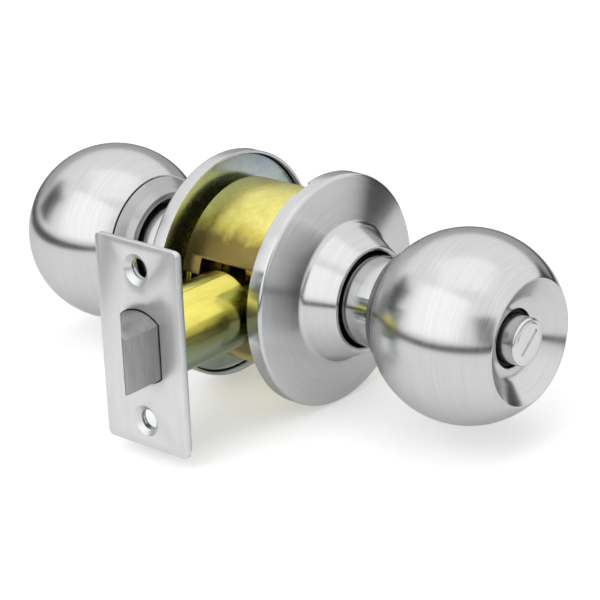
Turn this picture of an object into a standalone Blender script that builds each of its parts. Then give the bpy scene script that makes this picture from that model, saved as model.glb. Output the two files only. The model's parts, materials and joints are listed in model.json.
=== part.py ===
"""Cylindrical door knob set with a spring latch, as its separate pieces.

Frame: +Z is up, Y is the axis that the knobs turn on, and -X is the way the latch points.
The inside knob is at -Y and the outside knob is at +Y. The origin is where the latch's
centre line meets the knobs' axis. Units are metres.
"""

import math

import bmesh
import bpy
from mathutils import Matrix, Vector

MM = 0.001

# Fits. Two pieces that touch on the real lock are drawn one seat gap apart.
SEAT_GAP = 0.3 * MM
SLIDE_GAP = 0.4 * MM
CUT_PAST = 2.0 * MM  # how far a cutter runs past the face it starts from

MERGE = 0.001 * MM  # points nearer than this become one
PIVOT_SIZE = 5.0 * MM  # drawn size of the empties that mark the joints' axes

# Roundness: how many flats stand for a full turn.
LARGE_STEPS = 36
MEDIUM_STEPS = 28
SMALL_STEPS = 20
TINY_STEPS = 12

# Door: the two faces that the roses close on, measured from the latch's centre line.
INSIDE_DOOR_FACE = -12.0 * MM
OUTSIDE_DOOR_FACE = 20.0 * MM
BACKSET = 60.0 * MM

# Knobs. Distances along the axis start at the door's face.
KNOB_R = 26.0 * MM
KNOB_CENTRE = 48.5 * MM
KNOB_WALL = 1.0 * MM
DISH_RIM_R = 17.0 * MM
DISH_DEPTH = 5.2 * MM
DISH_RIM_ROLL = 0.7 * MM
DISH_BORE_ROLL = 0.4 * MM
DISH_BEND_R = 3.5 * MM
DISH_BEND_RISE = 1.1 * MM
DISH_WALL_W = 1.6 * MM  # the rim's wall, along the axis
KNOB_BORE_R = 7.9 * MM
KNOB_SLEEVE = 2.6 * MM
SEAM_R = 19.8 * MM
COLLAR_LIP_WIDTH = 1.9 * MM
COLLAR_LENGTH = 5.0 * MM
COLLAR_SPIGOT = 2.4 * MM
COLLAR_MOUTH_GAP = 1.3 * MM
COLLAR_ROLL = 0.5 * MM
SEAM_STEP = 0.25 * MM
SHANK_R = 12.6 * MM
SHANK_WALL = 0.9 * MM
SHANK_START = 9.0 * MM
SHANK_PAST = 1.0 * MM
SPINDLE_WALL = 1.0 * MM
SPINDLE_OVERLAP = 19.0 * MM

# Knob catches, which hold the knobs on their spindles.
CATCH_FROM_DOOR = 25.5 * MM
CATCH_HOLE_R = 1.5 * MM
CATCH_PIN_R = 1.1 * MM
CATCH_FLANGE_R = 2.3 * MM
CATCH_FLANGE_T = 1.0 * MM
CATCH_SPRING_LENGTH = 4.4 * MM
CATCH_SPRING = (1.5 * MM, 0.3 * MM, 3)  # radius, wire radius and turns
CATCH_SEAT_T = 0.8 * MM
CATCH_SEAT_WIDTH = 5.0 * MM
CATCH_TIP_BELOW = 0.6 * MM
INSIDE_CATCH_ANGLE = math.radians(6.0)
OUTSIDE_CATCH_ANGLE = math.radians(180.0)

# Roses: thin pressed covers.
ROSE_R = 32.5 * MM
ROSE_WALL = 0.8 * MM
ROSE_RIM = 4.5 * MM
ROSE_FACE_RISE = 2.9 * MM
ROSE_HUB_CLEAR = 4.0 * MM  # from the threaded hub to the rose's raised hub
ROSE_HUB_RISE = 8.9 * MM
ROSE_MOUTH_GAP = 0.8 * MM
ROSE_EDGE_ROLL = 0.9 * MM
ROSE_LIP_ROLL = 1.3 * MM
ROSE_BEND = 1.0 * MM
PRY_NOTCH_WIDTH = 6.0 * MM
PRY_NOTCH_HEIGHT = 1.1 * MM
PRY_NOTCH_DEPTH = 2.5 * MM
PRY_NOTCH_ANGLE = math.radians(74.0)
PLATE_T = 1.5 * MM
LINER_T = 1.2 * MM
LINER_RECESS = 1.9 * MM
LINER_BOSS = (2.2 * MM, 2.5 * MM)  # its wall and its height
LINER_EDGE = (0.9 * MM, 0.2 * MM)

# Hubs and chassis.
HUB_WALL = 3.4 * MM
HUB_REACH = 7.5 * MM
CASE_WALL = 1.2 * MM
CASE_INSIDE_RECESS = 1.5 * MM
CASE_OUTSIDE_RECESS = 2.0 * MM
END_PLATE_T = 1.8 * MM
CASE_OPENING_TOP = 10.6 * MM
CASE_OPENING_BOTTOM = 7.8 * MM
CASE_OPENING_Y = (-12.0 * MM, 12.0 * MM)
CASE_SLOT_HALF = 6.2 * MM
POST_R = 3.4 * MM
POST_INSET = 1.4 * MM
HEAD_CLEAR = 0.5 * MM  # from the threaded hub to a mounting screw's head
POST_LENGTH = 10.0 * MM
SCREW_R = 2.2 * MM
SCREW_HEAD_R = 4.0 * MM
SCREW_HEAD_T = 2.2 * MM
SCREW_HEAD_EDGE = 0.7 * MM
SCREW_SLOT = 1.0 * MM
SCREW_SLOT_DEPTH = 1.2 * MM
SCREW_BLIND = 2.0 * MM

# Retractor, which the knobs draw away from the latch.
THROW = 12.0 * MM
RETRACTOR_HALF_WIDTH = 4.5 * MM
RETRACTOR_BACK = 6.0 * MM
RETRACTOR_FRONT = -14.0 * MM
RETRACTOR_BRIDGE = 3.4 * MM
RETRACTOR_SLOT_HALF = 3.2 * MM
CLAW_REACH = 6.0 * MM
CLAW_T = 2.0 * MM
LUG_T = 3.0 * MM
LUG_DROP = 4.7 * MM
LUG_SHORT = 4.5 * MM
CLAW_DEPTH = 2.0 * MM
RING_FROM_PLATE = (1.5 * MM, 2.0 * MM)  # inside and outside spindles' ends, from the end plates
FINGER_HALF_WIDTH = 1.5 * MM
FINGER_ANGLE = math.radians(-30.0)
FINGER_ROOT = 1.5 * MM
FINGER_INSET = (0.05 * MM, 0.15 * MM)
GUIDE_T = 1.5 * MM
SEAT_T = 1.4 * MM
SEAT_PAST = 3.0 * MM
SEAT_CLEAR = 0.1 * MM
RETRACTOR_SPRING_Z = 8.5 * MM
RETRACTOR_SPRING_BORE_R = 2.6 * MM
RETRACTOR_SPRING = (1.85 * MM, 0.35 * MM, 6)

# Push button and lock bar.
BUTTON_R = 6.5 * MM
BUTTON_TRAVEL = 3.5 * MM
BUTTON_PROUD = 4.7 * MM
BUTTON_SLOT_WIDTH = 0.9 * MM
BUTTON_SLOT_LENGTH = 8.4 * MM
BUTTON_SLOT_DEPTH = 0.9 * MM
BUTTON_SLOT_ANGLE = math.radians(38.0)
BUTTON_LENGTH = 12.7 * MM
BUTTON_EDGE = 0.6 * MM
GUIDE_BELOW_DISH = 0.9 * MM
GUIDE_FLOOR_T = 1.2 * MM
WASHER_T = 1.2 * MM
BUTTON_SPRING_LENGTH = 5.2 * MM
BUTTON_SPRING = (4.4 * MM, 0.35 * MM, 3)
BAR_WIDTH = 2.8 * MM
BAR_T = 1.4 * MM
PLUNGER_R = 6.5 * MM
PLUNGER_T = 2.0 * MM
PLUNGER_WIDTH = 5.0 * MM
PLUNGER_PAST_RING = 1.0 * MM  # how far it ends past the spindle's end when pushed in

# Key cylinder.
PLUG_R = 5.6 * MM
PLUG_HEAD_R = 6.5 * MM
PLUG_HEAD_T = 1.3 * MM
CYLINDER_LENGTH = 19.4 * MM
KEYWAY_WIDTH = 1.6 * MM
KEYWAY_HEIGHT = 8.4 * MM
KEYWAY_DEPTH = 11.0 * MM
CYLINDER_BELOW_DISH = 1.1 * MM
PLUG_PROUD = 0.4 * MM
PLUG_EDGE = 0.3 * MM
TAILPIECE_FROM_RING = 2.5 * MM
TAILPIECE_WIDTH = 5.0 * MM
TAILPIECE_T = 1.5 * MM

# Latch.
FACEPLATE_WIDTH = 28.6 * MM
FACEPLATE_HEIGHT = 57.2 * MM
FACEPLATE_T = 1.5 * MM
FACEPLATE_CORNER_R = 1.2 * MM
BACKPLATE_INSET = 0.7 * MM
BACKPLATE_T = 1.0 * MM
SCREW_HOLE_SPACING = 42.2 * MM
SCREW_HOLE_R = 2.8 * MM
COUNTERSINK_R = 4.3 * MM
COUNTERSINK_DEPTH = 1.1 * MM
COUNTERSINK_PAST = 0.16 * MM
BOLT_R = 10.0 * MM
BOLT_HALF_WIDTH = 6.7 * MM
BOLT_LENGTH = 22.0 * MM
BOLT_NOSE = 1.0 * MM
BOLT_POCKET = 5.0 * MM
TUBE_WALL = 0.6 * MM
TUBE_FROM_CASE = 2.7 * MM
TUBE_CAP_T = 1.7 * MM
PRONG_T = 1.2 * MM
PRONG_WIDTH = 8.0 * MM
PRONG_REACH = 8.5 * MM
PRONG_Z = 6.8 * MM
TAIL_HALF_HEIGHT = 1.6 * MM
TAIL_HALF_T = 1.0 * MM
TAIL_HEAD_HALF = 2.9 * MM
TAIL_HEAD_T = 2.0 * MM
PRONG_ROOT = 0.5 * MM
BEVEL_SHORT = 0.2 * MM  # how far from the faceplate's front the bevel ends
LATCH_SPRING = (5.5 * MM, 0.5 * MM, 5)

# Worked out from the values above.
SPINDLE_R = SHANK_R - SHANK_WALL - SLIDE_GAP
SPINDLE_BORE_R = SPINDLE_R - SPINDLE_WALL
BEARING_R = SPINDLE_R + SEAT_GAP
HUB_R = BEARING_R + HUB_WALL
ROSE_HUB_R = HUB_R + ROSE_HUB_CLEAR
COLLAR_LIP_R = SHANK_R + COLLAR_MOUTH_GAP + COLLAR_LIP_WIDTH
POST_Z = HUB_R + SCREW_HEAD_R + HEAD_CLEAR
CASE_BORE_R = POST_Z + POST_R + POST_INSET
CASE_R = CASE_BORE_R + CASE_WALL
CASE_Y = (INSIDE_DOOR_FACE + CASE_INSIDE_RECESS, OUTSIDE_DOOR_FACE - CASE_OUTSIDE_RECESS)
INSIDE_RING_END = CASE_Y[0] + END_PLATE_T + RING_FROM_PLATE[0]
OUTSIDE_RING_END = CASE_Y[1] - END_PLATE_T - RING_FROM_PLATE[1]
GUIDE_Z = SPINDLE_R + CASE_WALL + SEAT_GAP
RETRACTOR_HALF_HEIGHT = GUIDE_Z - SEAT_GAP
SEAT_X = math.sqrt((CASE_BORE_R - SEAT_GAP) ** 2 - RETRACTOR_HALF_HEIGHT**2) - SEAT_CLEAR
DISH_RIM_W = math.sqrt(KNOB_R**2 - DISH_RIM_R**2)
DISH_FLOOR_W = DISH_RIM_W - DISH_DEPTH
SEAM_W = -math.sqrt(KNOB_R**2 - SEAM_R**2)
GUIDE_R = KNOB_BORE_R - SEAT_GAP
BUTTON_FRONT_W = DISH_FLOOR_W + BUTTON_PROUD
FACEPLATE_BACK = -BACKSET + FACEPLATE_T
BACKPLATE_BACK = FACEPLATE_BACK + SEAT_GAP + BACKPLATE_T
TUBE_BORE_R = BOLT_R + SEAT_GAP
TUBE_R = TUBE_BORE_R + TUBE_WALL
TUBE_X = (FACEPLATE_BACK + SEAT_GAP, -(CASE_R + TUBE_FROM_CASE))
CLAW_X = RETRACTOR_FRONT - CLAW_REACH

SIDES = {
    "inside": {"sign": -1.0, "door": INSIDE_DOOR_FACE, "catch": INSIDE_CATCH_ANGLE},
    "outside": {"sign": 1.0, "door": OUTSIDE_DOOR_FACE, "catch": OUTSIDE_CATCH_ANGLE},
}

FINISHES = {
    "satin_stainless": ((0.58, 0.58, 0.58), 0.32, 1.0),
    "polished_stainless": ((0.62, 0.62, 0.62), 0.16, 1.0),
    "yellow_zinc": ((0.55, 0.46, 0.14), 0.34, 1.0),
    "clear_zinc": ((0.42, 0.46, 0.44), 0.38, 1.0),
    "spring_steel": ((0.32, 0.32, 0.33), 0.30, 1.0),
    "brass": ((0.60, 0.43, 0.17), 0.30, 1.0),
}


# ---------------------------------------------------------------- helpers
def clear_scene():
    for obj in list(bpy.data.objects):
        bpy.data.objects.remove(obj, do_unlink=True)


def material_for(name, finish):
    """Each piece gets its own material, set from one of the finishes."""
    colour, roughness, metallic = FINISHES[finish]
    material = bpy.data.materials.new(name)
    material.use_nodes = True
    shader = material.node_tree.nodes["Principled BSDF"]
    shader.inputs["Base Color"].default_value = (*colour, 1.0)
    shader.inputs["Roughness"].default_value = roughness
    shader.inputs["Metallic"].default_value = metallic
    return material


def pivot(name, location, angle=0.0, parent=None):
    """An empty that marks a joint's axis. It may be turned about Y."""
    empty = bpy.data.objects.new(name, None)
    empty.empty_display_size = PIVOT_SIZE
    bpy.context.scene.collection.objects.link(empty)
    empty.parent = parent
    empty.location = location
    empty.rotation_euler = (0.0, angle, 0.0)
    return empty


def add_piece(name, mesh_data, finish, parent, location=(0.0, 0.0, 0.0)):
    piece = bpy.data.objects.new(name, mesh_data)
    bpy.context.scene.collection.objects.link(piece)
    piece.parent = parent
    piece.location = location
    piece.data.materials.append(material_for(name, finish))
    return piece


def close_mesh(name, shape, sharp_angle=35.0):
    """Merges the seams of a bmesh, turns its faces outwards and makes it a mesh."""
    bmesh.ops.remove_doubles(shape, verts=shape.verts, dist=MERGE)
    bmesh.ops.recalc_face_normals(shape, faces=shape.faces)
    mesh = bpy.data.meshes.new(name)
    shape.to_mesh(mesh)
    shape.free()
    mesh.shade_smooth()
    mesh.set_sharp_from_angle(angle=math.radians(sharp_angle))
    return mesh


def turned_mesh(name, outline, steps):
    """Spins a closed outline of (radius, y) points a full turn about Y."""
    shape = bmesh.new()
    points = [shape.verts.new((radius, y, 0.0)) for radius, y in outline]
    edges = [shape.edges.new((a, b)) for a, b in zip(points, points[1:] + points[:1])]
    on_axis = [edge for edge in edges if all(v.co.x < MERGE for v in edge.verts)]
    bmesh.ops.delete(shape, geom=on_axis, context="EDGES_FACES")
    bmesh.ops.spin(
        shape,
        geom=shape.verts[:] + shape.edges[:],
        axis=(0.0, 1.0, 0.0),
        cent=(0.0, 0.0, 0.0),
        angle=2.0 * math.pi,
        steps=steps,
        use_merge=True,
    )
    return close_mesh(name, shape)


def turned(name, outline, steps, finish, parent):
    return add_piece(name, turned_mesh(name, outline, steps), finish, parent)


def ring_outline(inner, outer, start, end):
    return [(inner, start), (outer, start), (outer, end), (inner, end)]


def prism_mesh(name, outline, axis, start, end):
    """Extrudes a closed outline from start to end along X or Y.

    The outline's points are (y, z) for X and (x, z) for Y.
    """
    shape = bmesh.new()
    if axis == "X":
        points = [shape.verts.new((start, a, b)) for a, b in outline]
        travel = Vector((end - start, 0.0, 0.0))
    else:
        points = [shape.verts.new((a, start, b)) for a, b in outline]
        travel = Vector((0.0, end - start, 0.0))
    face = shape.faces.new(points)
    grown = bmesh.ops.extrude_face_region(shape, geom=[face])
    moved = [item for item in grown["geom"] if isinstance(item, bmesh.types.BMVert)]
    bmesh.ops.translate(shape, verts=moved, vec=travel)
    return close_mesh(name, shape)


def rectangle(low_a, high_a, low_b, high_b):
    return [(low_a, low_b), (high_a, low_b), (high_a, high_b), (low_a, high_b)]


def rounded_rectangle(half_a, half_b, radius, steps=4):
    """Corners of a rectangle about the origin, each as an arc."""
    points = []
    for quarter, (sign_a, sign_b) in enumerate(((1, 1), (-1, 1), (-1, -1), (1, -1))):
        for step in range(steps + 1):
            angle = math.pi / 2 * (quarter + step / steps)
            centre_a = sign_a * (half_a - radius)
            centre_b = sign_b * (half_b - radius)
            points.append((centre_a + radius * math.cos(angle), centre_b + radius * math.sin(angle)))
    return points


def arc(centre, radius, start, end, steps):
    """Points along an arc, from start to end in degrees, both ends included."""
    points = []
    for step in range(steps + 1):
        angle = math.radians(start + (end - start) * step / steps)
        points.append((centre[0] + radius * math.cos(angle), centre[1] + radius * math.sin(angle)))
    return points


def tool(target, name, mesh_data, parent=None, location=(0.0, 0.0, 0.0), operation="DIFFERENCE"):
    """Cuts the mesh from the target, or joins it on, with a Boolean."""
    helper = bpy.data.objects.new(name, mesh_data)
    bpy.context.scene.collection.objects.link(helper)
    helper.parent = parent if parent is not None else target.parent
    helper.location = location
    helper.hide_render = True
    helper.display_type = "WIRE"
    step = target.modifiers.new(name, "BOOLEAN")
    step.operation = operation
    step.object = helper
    step.solver = "EXACT"
    return helper


def drill(target, name, radius, axis, start, end, at, steps=SMALL_STEPS, parent=None):
    """Drills a round hole along X or Y, from start to end, through the point at."""
    mesh = turned_mesh(name, [(0.0, start), (radius, start), (radius, end), (0.0, end)], steps)
    if axis == "X":
        mesh.transform(Matrix.Rotation(math.radians(-90.0), 4, "Z"))
    return tool(target, name, mesh, parent=parent, location=at)


def coil(name, spring, start, end, axis, finish, parent, at=(0.0, 0.0, 0.0)):
    """A coil spring along X or Y. The spring is its radius, its wire's radius and its turns."""
    radius, wire_r, turns = spring
    per_turn = 8
    count = int(turns * per_turn)
    curve = bpy.data.curves.new(name, "CURVE")
    curve.dimensions = "3D"
    curve.bevel_depth = wire_r
    curve.bevel_resolution = 0
    curve.use_fill_caps = True
    line = curve.splines.new("POLY")
    line.points.add(count)
    first = start + wire_r
    last = end - wire_r
    for index, point in enumerate(line.points):
        along = first + (last - first) * index / count
        angle = 2.0 * math.pi * index / per_turn
        across = (radius * math.cos(angle), radius * math.sin(angle))
        if axis == "X":
            point.co = (along, across[0], across[1], 1.0)
        else:
            point.co = (across[0], along, across[1], 1.0)
    return add_piece(name, curve, finish, parent, at)


# ---------------------------------------------------------------- roses
def rose_outline(sign):
    """A thin cover: straight rim, shallow cone, raised hub and a rolled-in mouth."""
    mouth_r = SHANK_R + ROSE_MOUTH_GAP
    face_v = ROSE_RIM + ROSE_FACE_RISE
    lip_v = face_v + ROSE_HUB_RISE
    roll = ROSE_EDGE_ROLL
    lip = ROSE_LIP_ROLL
    bend = ROSE_BEND
    outer = [
        (ROSE_R, 0.0),
        (ROSE_R, ROSE_RIM - roll),
        (ROSE_R - 0.3 * roll, ROSE_RIM - 0.3 * roll),
        (ROSE_R - roll, ROSE_RIM),
        (ROSE_HUB_R + bend, face_v - 0.35 * bend),
        (ROSE_HUB_R - 0.4 * bend, face_v + 0.3 * bend),
        (ROSE_HUB_R - 1.4 * bend, face_v + 1.8 * bend),
        (mouth_r + lip, lip_v - lip),
        (mouth_r + 0.6 * lip, lip_v - 0.15 * lip),
        (mouth_r + 0.1 * lip, lip_v - 0.3 * lip),
    ]
    inner = [
        (mouth_r, lip_v - 1.2 * lip),
        (ROSE_HUB_R - 2.4 * bend, face_v + 1.3 * bend),
        (ROSE_HUB_R - bend, face_v - 0.6 * bend),
        (ROSE_HUB_R + bend, face_v - 1.2 * bend),
        (ROSE_R - ROSE_WALL - roll / 2, ROSE_RIM - ROSE_WALL),
        (ROSE_R - ROSE_WALL, ROSE_RIM - ROSE_WALL - roll / 2),
        (ROSE_R - ROSE_WALL, 0.0),
    ]
    return [(radius, sign * v) for radius, v in outer + inner]


def make_rose(side, data, root):
    base = pivot(side + "_door_face", (0.0, data["door"], 0.0), parent=root)
    rose = turned(side + "_rose", rose_outline(data["sign"]), LARGE_STEPS, "satin_stainless", base)
    if side == "inside":
        half = PRY_NOTCH_WIDTH / 2
        notch = prism_mesh(
            "pry_notch",
            rectangle(-half, half, ROSE_R - PRY_NOTCH_DEPTH, ROSE_R + CUT_PAST),
            "Y",
            -PRY_NOTCH_HEIGHT,
            CUT_PAST,
        )
        turn = pivot("pry_notch_place", (0.0, 0.0, 0.0), PRY_NOTCH_ANGLE - math.pi / 2, base)
        tool(rose, "pry_notch", notch, parent=turn)
    return base


# ---------------------------------------------------------------- knobs
def knob_shell_outline(sign):
    """A ball with a dished front and an open back, one wall thick."""
    inner_r = KNOB_R - KNOB_WALL
    seam_angle = math.degrees(math.atan2(SEAM_W, SEAM_R))
    rim_angle = math.degrees(math.atan2(DISH_RIM_W, DISH_RIM_R))
    outer = arc((0.0, 0.0), KNOB_R, seam_angle, 0.0, 5)
    outer += arc((0.0, 0.0), KNOB_R, 0.0, rim_angle, 6)[1:]
    inner_start = math.degrees(math.asin(SEAM_W / inner_r))
    inner_end = math.degrees(math.asin((DISH_RIM_W - DISH_WALL_W) / inner_r))
    inner = arc((0.0, 0.0), inner_r, inner_end, inner_start, 7)
    sleeve_end = DISH_FLOOR_W - KNOB_SLEEVE
    dish = [
        (DISH_RIM_R - DISH_RIM_ROLL, DISH_RIM_W - DISH_RIM_ROLL / 7),
        (KNOB_BORE_R + DISH_BEND_R, DISH_FLOOR_W + DISH_BEND_RISE),
        (KNOB_BORE_R + DISH_BORE_ROLL, DISH_FLOOR_W),
        (KNOB_BORE_R, DISH_FLOOR_W - DISH_BORE_ROLL),
        (KNOB_BORE_R, sleeve_end),
        (KNOB_BORE_R + KNOB_WALL, sleeve_end),
        (KNOB_BORE_R + KNOB_WALL, DISH_FLOOR_W - DISH_BEND_RISE),
        (KNOB_BORE_R + DISH_BEND_R, DISH_FLOOR_W),
    ]
    return [(radius, sign * w) for radius, w in outer + dish + inner]


def collar_outline(sign):
    """The ball's back: a spigot inside the shell, a flare and a rolled lip round the shank."""
    bore_r = SHANK_R + SEAT_GAP
    mouth_r = SHANK_R + COLLAR_MOUTH_GAP
    spigot_r = math.sqrt((KNOB_R - KNOB_WALL) ** 2 - SEAM_W**2) - SEAT_GAP
    back = SEAM_W - SEAT_GAP
    lip = SEAM_W - COLLAR_LENGTH
    front = SEAM_W + COLLAR_SPIGOT
    flare = SEAM_R - COLLAR_LIP_R
    outline = [
        (bore_r, front),
        (spigot_r, front),
        (spigot_r, back),
        (SEAM_R - SEAM_STEP, back),
        (SEAM_R - 0.42 * flare, back - 0.25 * COLLAR_LENGTH),
        (SEAM_R - 0.76 * flare, back - 0.58 * COLLAR_LENGTH),
        (COLLAR_LIP_R, lip + COLLAR_ROLL),
        (COLLAR_LIP_R - COLLAR_ROLL, lip),
        (mouth_r + COLLAR_ROLL, lip),
        (mouth_r, lip + COLLAR_ROLL),
        (mouth_r, back),
        (bore_r, back),
    ]
    return [(radius, sign * w) for radius, w in outline]


def make_catch(side, data, turning):
    """The sprung pin that holds the knob, its spring, and the plate behind the spring."""
    sign = data["sign"]
    place = (0.0, sign * CATCH_FROM_DOOR, 0.0)
    frame = pivot(side + "_catch_axis", place, data["catch"], turning)
    flange_x = -(SPINDLE_BORE_R - SEAT_GAP)
    tip_x = -(SHANK_R - CATCH_TIP_BELOW)
    back_x = flange_x + CATCH_FLANGE_T
    outline = [
        (0.0, tip_x),
        (CATCH_PIN_R, tip_x),
        (CATCH_PIN_R, flange_x),
        (CATCH_FLANGE_R, flange_x),
        (CATCH_FLANGE_R, back_x),
        (0.0, back_x),
    ]
    mesh = turned_mesh(side + "_knob_catch", outline, TINY_STEPS)
    mesh.transform(Matrix.Rotation(math.radians(-90.0), 4, "Z"))
    add_piece(side + "_knob_catch", mesh, "spring_steel", frame)
    seat_x = back_x + CATCH_SPRING_LENGTH
    coil(
        side + "_catch_spring",
        CATCH_SPRING,
        back_x + SEAT_GAP,
        seat_x - SEAT_GAP,
        "X",
        "spring_steel",
        frame,
    )
    seat_end = seat_x + CATCH_SEAT_T
    reach = math.sqrt((SPINDLE_BORE_R - SEAT_GAP) ** 2 - seat_x**2)
    half = CATCH_SEAT_WIDTH / 2
    plate = prism_mesh(side + "_catch_seat", rectangle(-half, half, -reach, reach), "X", seat_x, seat_end)
    add_piece(side + "_catch_seat", plate, "yellow_zinc", frame)
    return frame


def make_spindle(side, data, turning, frame):
    """A tube that turns in the hub, with a finger that pushes the retractor's lug."""
    sign = data["sign"]
    ring_end = INSIDE_RING_END if side == "inside" else OUTSIDE_RING_END
    outer_end = data["door"] + sign * (SHANK_START + SPINDLE_OVERLAP)
    outline = ring_outline(SPINDLE_BORE_R, SPINDLE_R, ring_end - data["door"], outer_end - data["door"])
    spindle = turned(side + "_spindle", outline, MEDIUM_STEPS, "yellow_zinc", turning)
    tip = sign * (RETRACTOR_HALF_WIDTH + SEAT_GAP) - data["door"]
    root_y = ring_end - data["door"] + sign * FINGER_ROOT
    finger = prism_mesh(
        side + "_finger",
        rectangle(
            -FINGER_HALF_WIDTH,
            FINGER_HALF_WIDTH,
            SPINDLE_BORE_R + FINGER_INSET[0],
            SPINDLE_R - FINGER_INSET[1],
        ),
        "Y",
        min(tip, root_y),
        max(tip, root_y),
    )
    aim = pivot(side + "_finger_place", (0.0, 0.0, 0.0), FINGER_ANGLE, turning)
    tool(spindle, side + "_finger", finger, parent=aim, operation="UNION")
    drill(
        spindle,
        side + "_spindle_catch_hole",
        CATCH_HOLE_R,
        "X",
        -(SPINDLE_R + CUT_PAST),
        -(SPINDLE_BORE_R - CUT_PAST),
        (0.0, 0.0, 0.0),
        TINY_STEPS,
        frame,
    )


def make_knob(side, data, turning):
    """The ball's shell, its collar, the shank and the spindle, which all turn together."""
    sign = data["sign"]
    ball = pivot(side + "_knob_centre", (0.0, sign * KNOB_CENTRE, 0.0), parent=turning)
    turned(side + "_knob_shell", knob_shell_outline(sign), LARGE_STEPS, "satin_stainless", ball)
    turned(side + "_knob_collar", collar_outline(sign), LARGE_STEPS, "satin_stainless", ball)
    frame = make_catch(side, data, turning)
    shank_end = KNOB_CENTRE + SEAM_W + COLLAR_SPIGOT + SHANK_PAST
    outline = ring_outline(SHANK_R - SHANK_WALL, SHANK_R, sign * SHANK_START, sign * shank_end)
    shank = turned(side + "_knob_shank", outline, MEDIUM_STEPS, "polished_stainless", turning)
    drill(
        shank,
        side + "_shank_catch_hole",
        CATCH_HOLE_R,
        "X",
        -(SHANK_R + CUT_PAST),
        -(SPINDLE_R - CUT_PAST / 2),
        (0.0, 0.0, 0.0),
        TINY_STEPS,
        frame,
    )
    make_spindle(side, data, turning, frame)
    return ball


# ---------------------------------------------------------------- button
def make_button(ball):
    """The push button in the inside knob, its guide, washer and spring, and the lock bar."""
    front = -BUTTON_FRONT_W
    rear = front + BUTTON_LENGTH
    outline = [
        (0.0, front),
        (BUTTON_R - BUTTON_EDGE, front),
        (BUTTON_R - BUTTON_EDGE / 4, front + BUTTON_EDGE / 4),
        (BUTTON_R, front + BUTTON_EDGE),
        (BUTTON_R, rear),
        (0.0, rear),
    ]
    slider = pivot("button_slide_axis", (0.0, 0.0, 0.0), parent=ball)
    button = turned("push_button", outline, MEDIUM_STEPS, "satin_stainless", slider)
    half_width = BUTTON_SLOT_WIDTH / 2
    half_length = BUTTON_SLOT_LENGTH / 2
    slot = prism_mesh(
        "button_slot",
        rectangle(-half_length, half_length, -half_width, half_width),
        "Y",
        front - CUT_PAST,
        front + BUTTON_SLOT_DEPTH,
    )
    aim = pivot("button_slot_place", (0.0, 0.0, 0.0), -BUTTON_SLOT_ANGLE, slider)
    tool(button, "button_slot", slot, parent=aim)

    washer_start = rear + SEAT_GAP
    washer_end = washer_start + WASHER_T
    bar_clear = math.hypot(BAR_WIDTH, BAR_T) / 2 + SLIDE_GAP
    turned(
        "button_washer",
        ring_outline(bar_clear, BUTTON_R - SEAT_GAP, washer_start, washer_end),
        SMALL_STEPS,
        "clear_zinc",
        slider,
    )
    spring_end = washer_end + BUTTON_SPRING_LENGTH
    coil(
        "button_spring",
        BUTTON_SPRING,
        washer_end + SEAT_GAP,
        spring_end - SEAT_GAP,
        "Y",
        "spring_steel",
        ball,
    )
    bore_r = BUTTON_R + SEAT_GAP
    sleeve_front = -(DISH_FLOOR_W - GUIDE_BELOW_DISH)
    guide = [
        (bore_r, sleeve_front),
        (GUIDE_R, sleeve_front),
        (GUIDE_R, spring_end + GUIDE_FLOOR_T),
        (bar_clear, spring_end + GUIDE_FLOOR_T),
        (bar_clear, spring_end),
        (bore_r, spring_end),
    ]
    turned("button_guide", guide, MEDIUM_STEPS, "clear_zinc", ball)

    ball_y = INSIDE_DOOR_FACE - KNOB_CENTRE
    plunger_y = OUTSIDE_RING_END - PLUNGER_T - BUTTON_TRAVEL + PLUNGER_PAST_RING
    bar_end = plunger_y - SEAT_GAP - ball_y
    bar = prism_mesh(
        "lock_bar",
        rectangle(-BAR_WIDTH / 2, BAR_WIDTH / 2, -BAR_T / 2, BAR_T / 2),
        "Y",
        washer_start,
        bar_end,
    )
    add_piece("lock_bar", bar, "yellow_zinc", slider)
    half = PLUNGER_WIDTH / 2
    reach = math.sqrt(PLUNGER_R**2 - half**2)
    plunger = prism_mesh(
        "lock_plunger",
        rectangle(-reach, reach, -half, half),
        "Y",
        plunger_y - ball_y,
        plunger_y + PLUNGER_T - ball_y,
    )
    add_piece("lock_plunger", plunger, "clear_zinc", slider)


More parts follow.
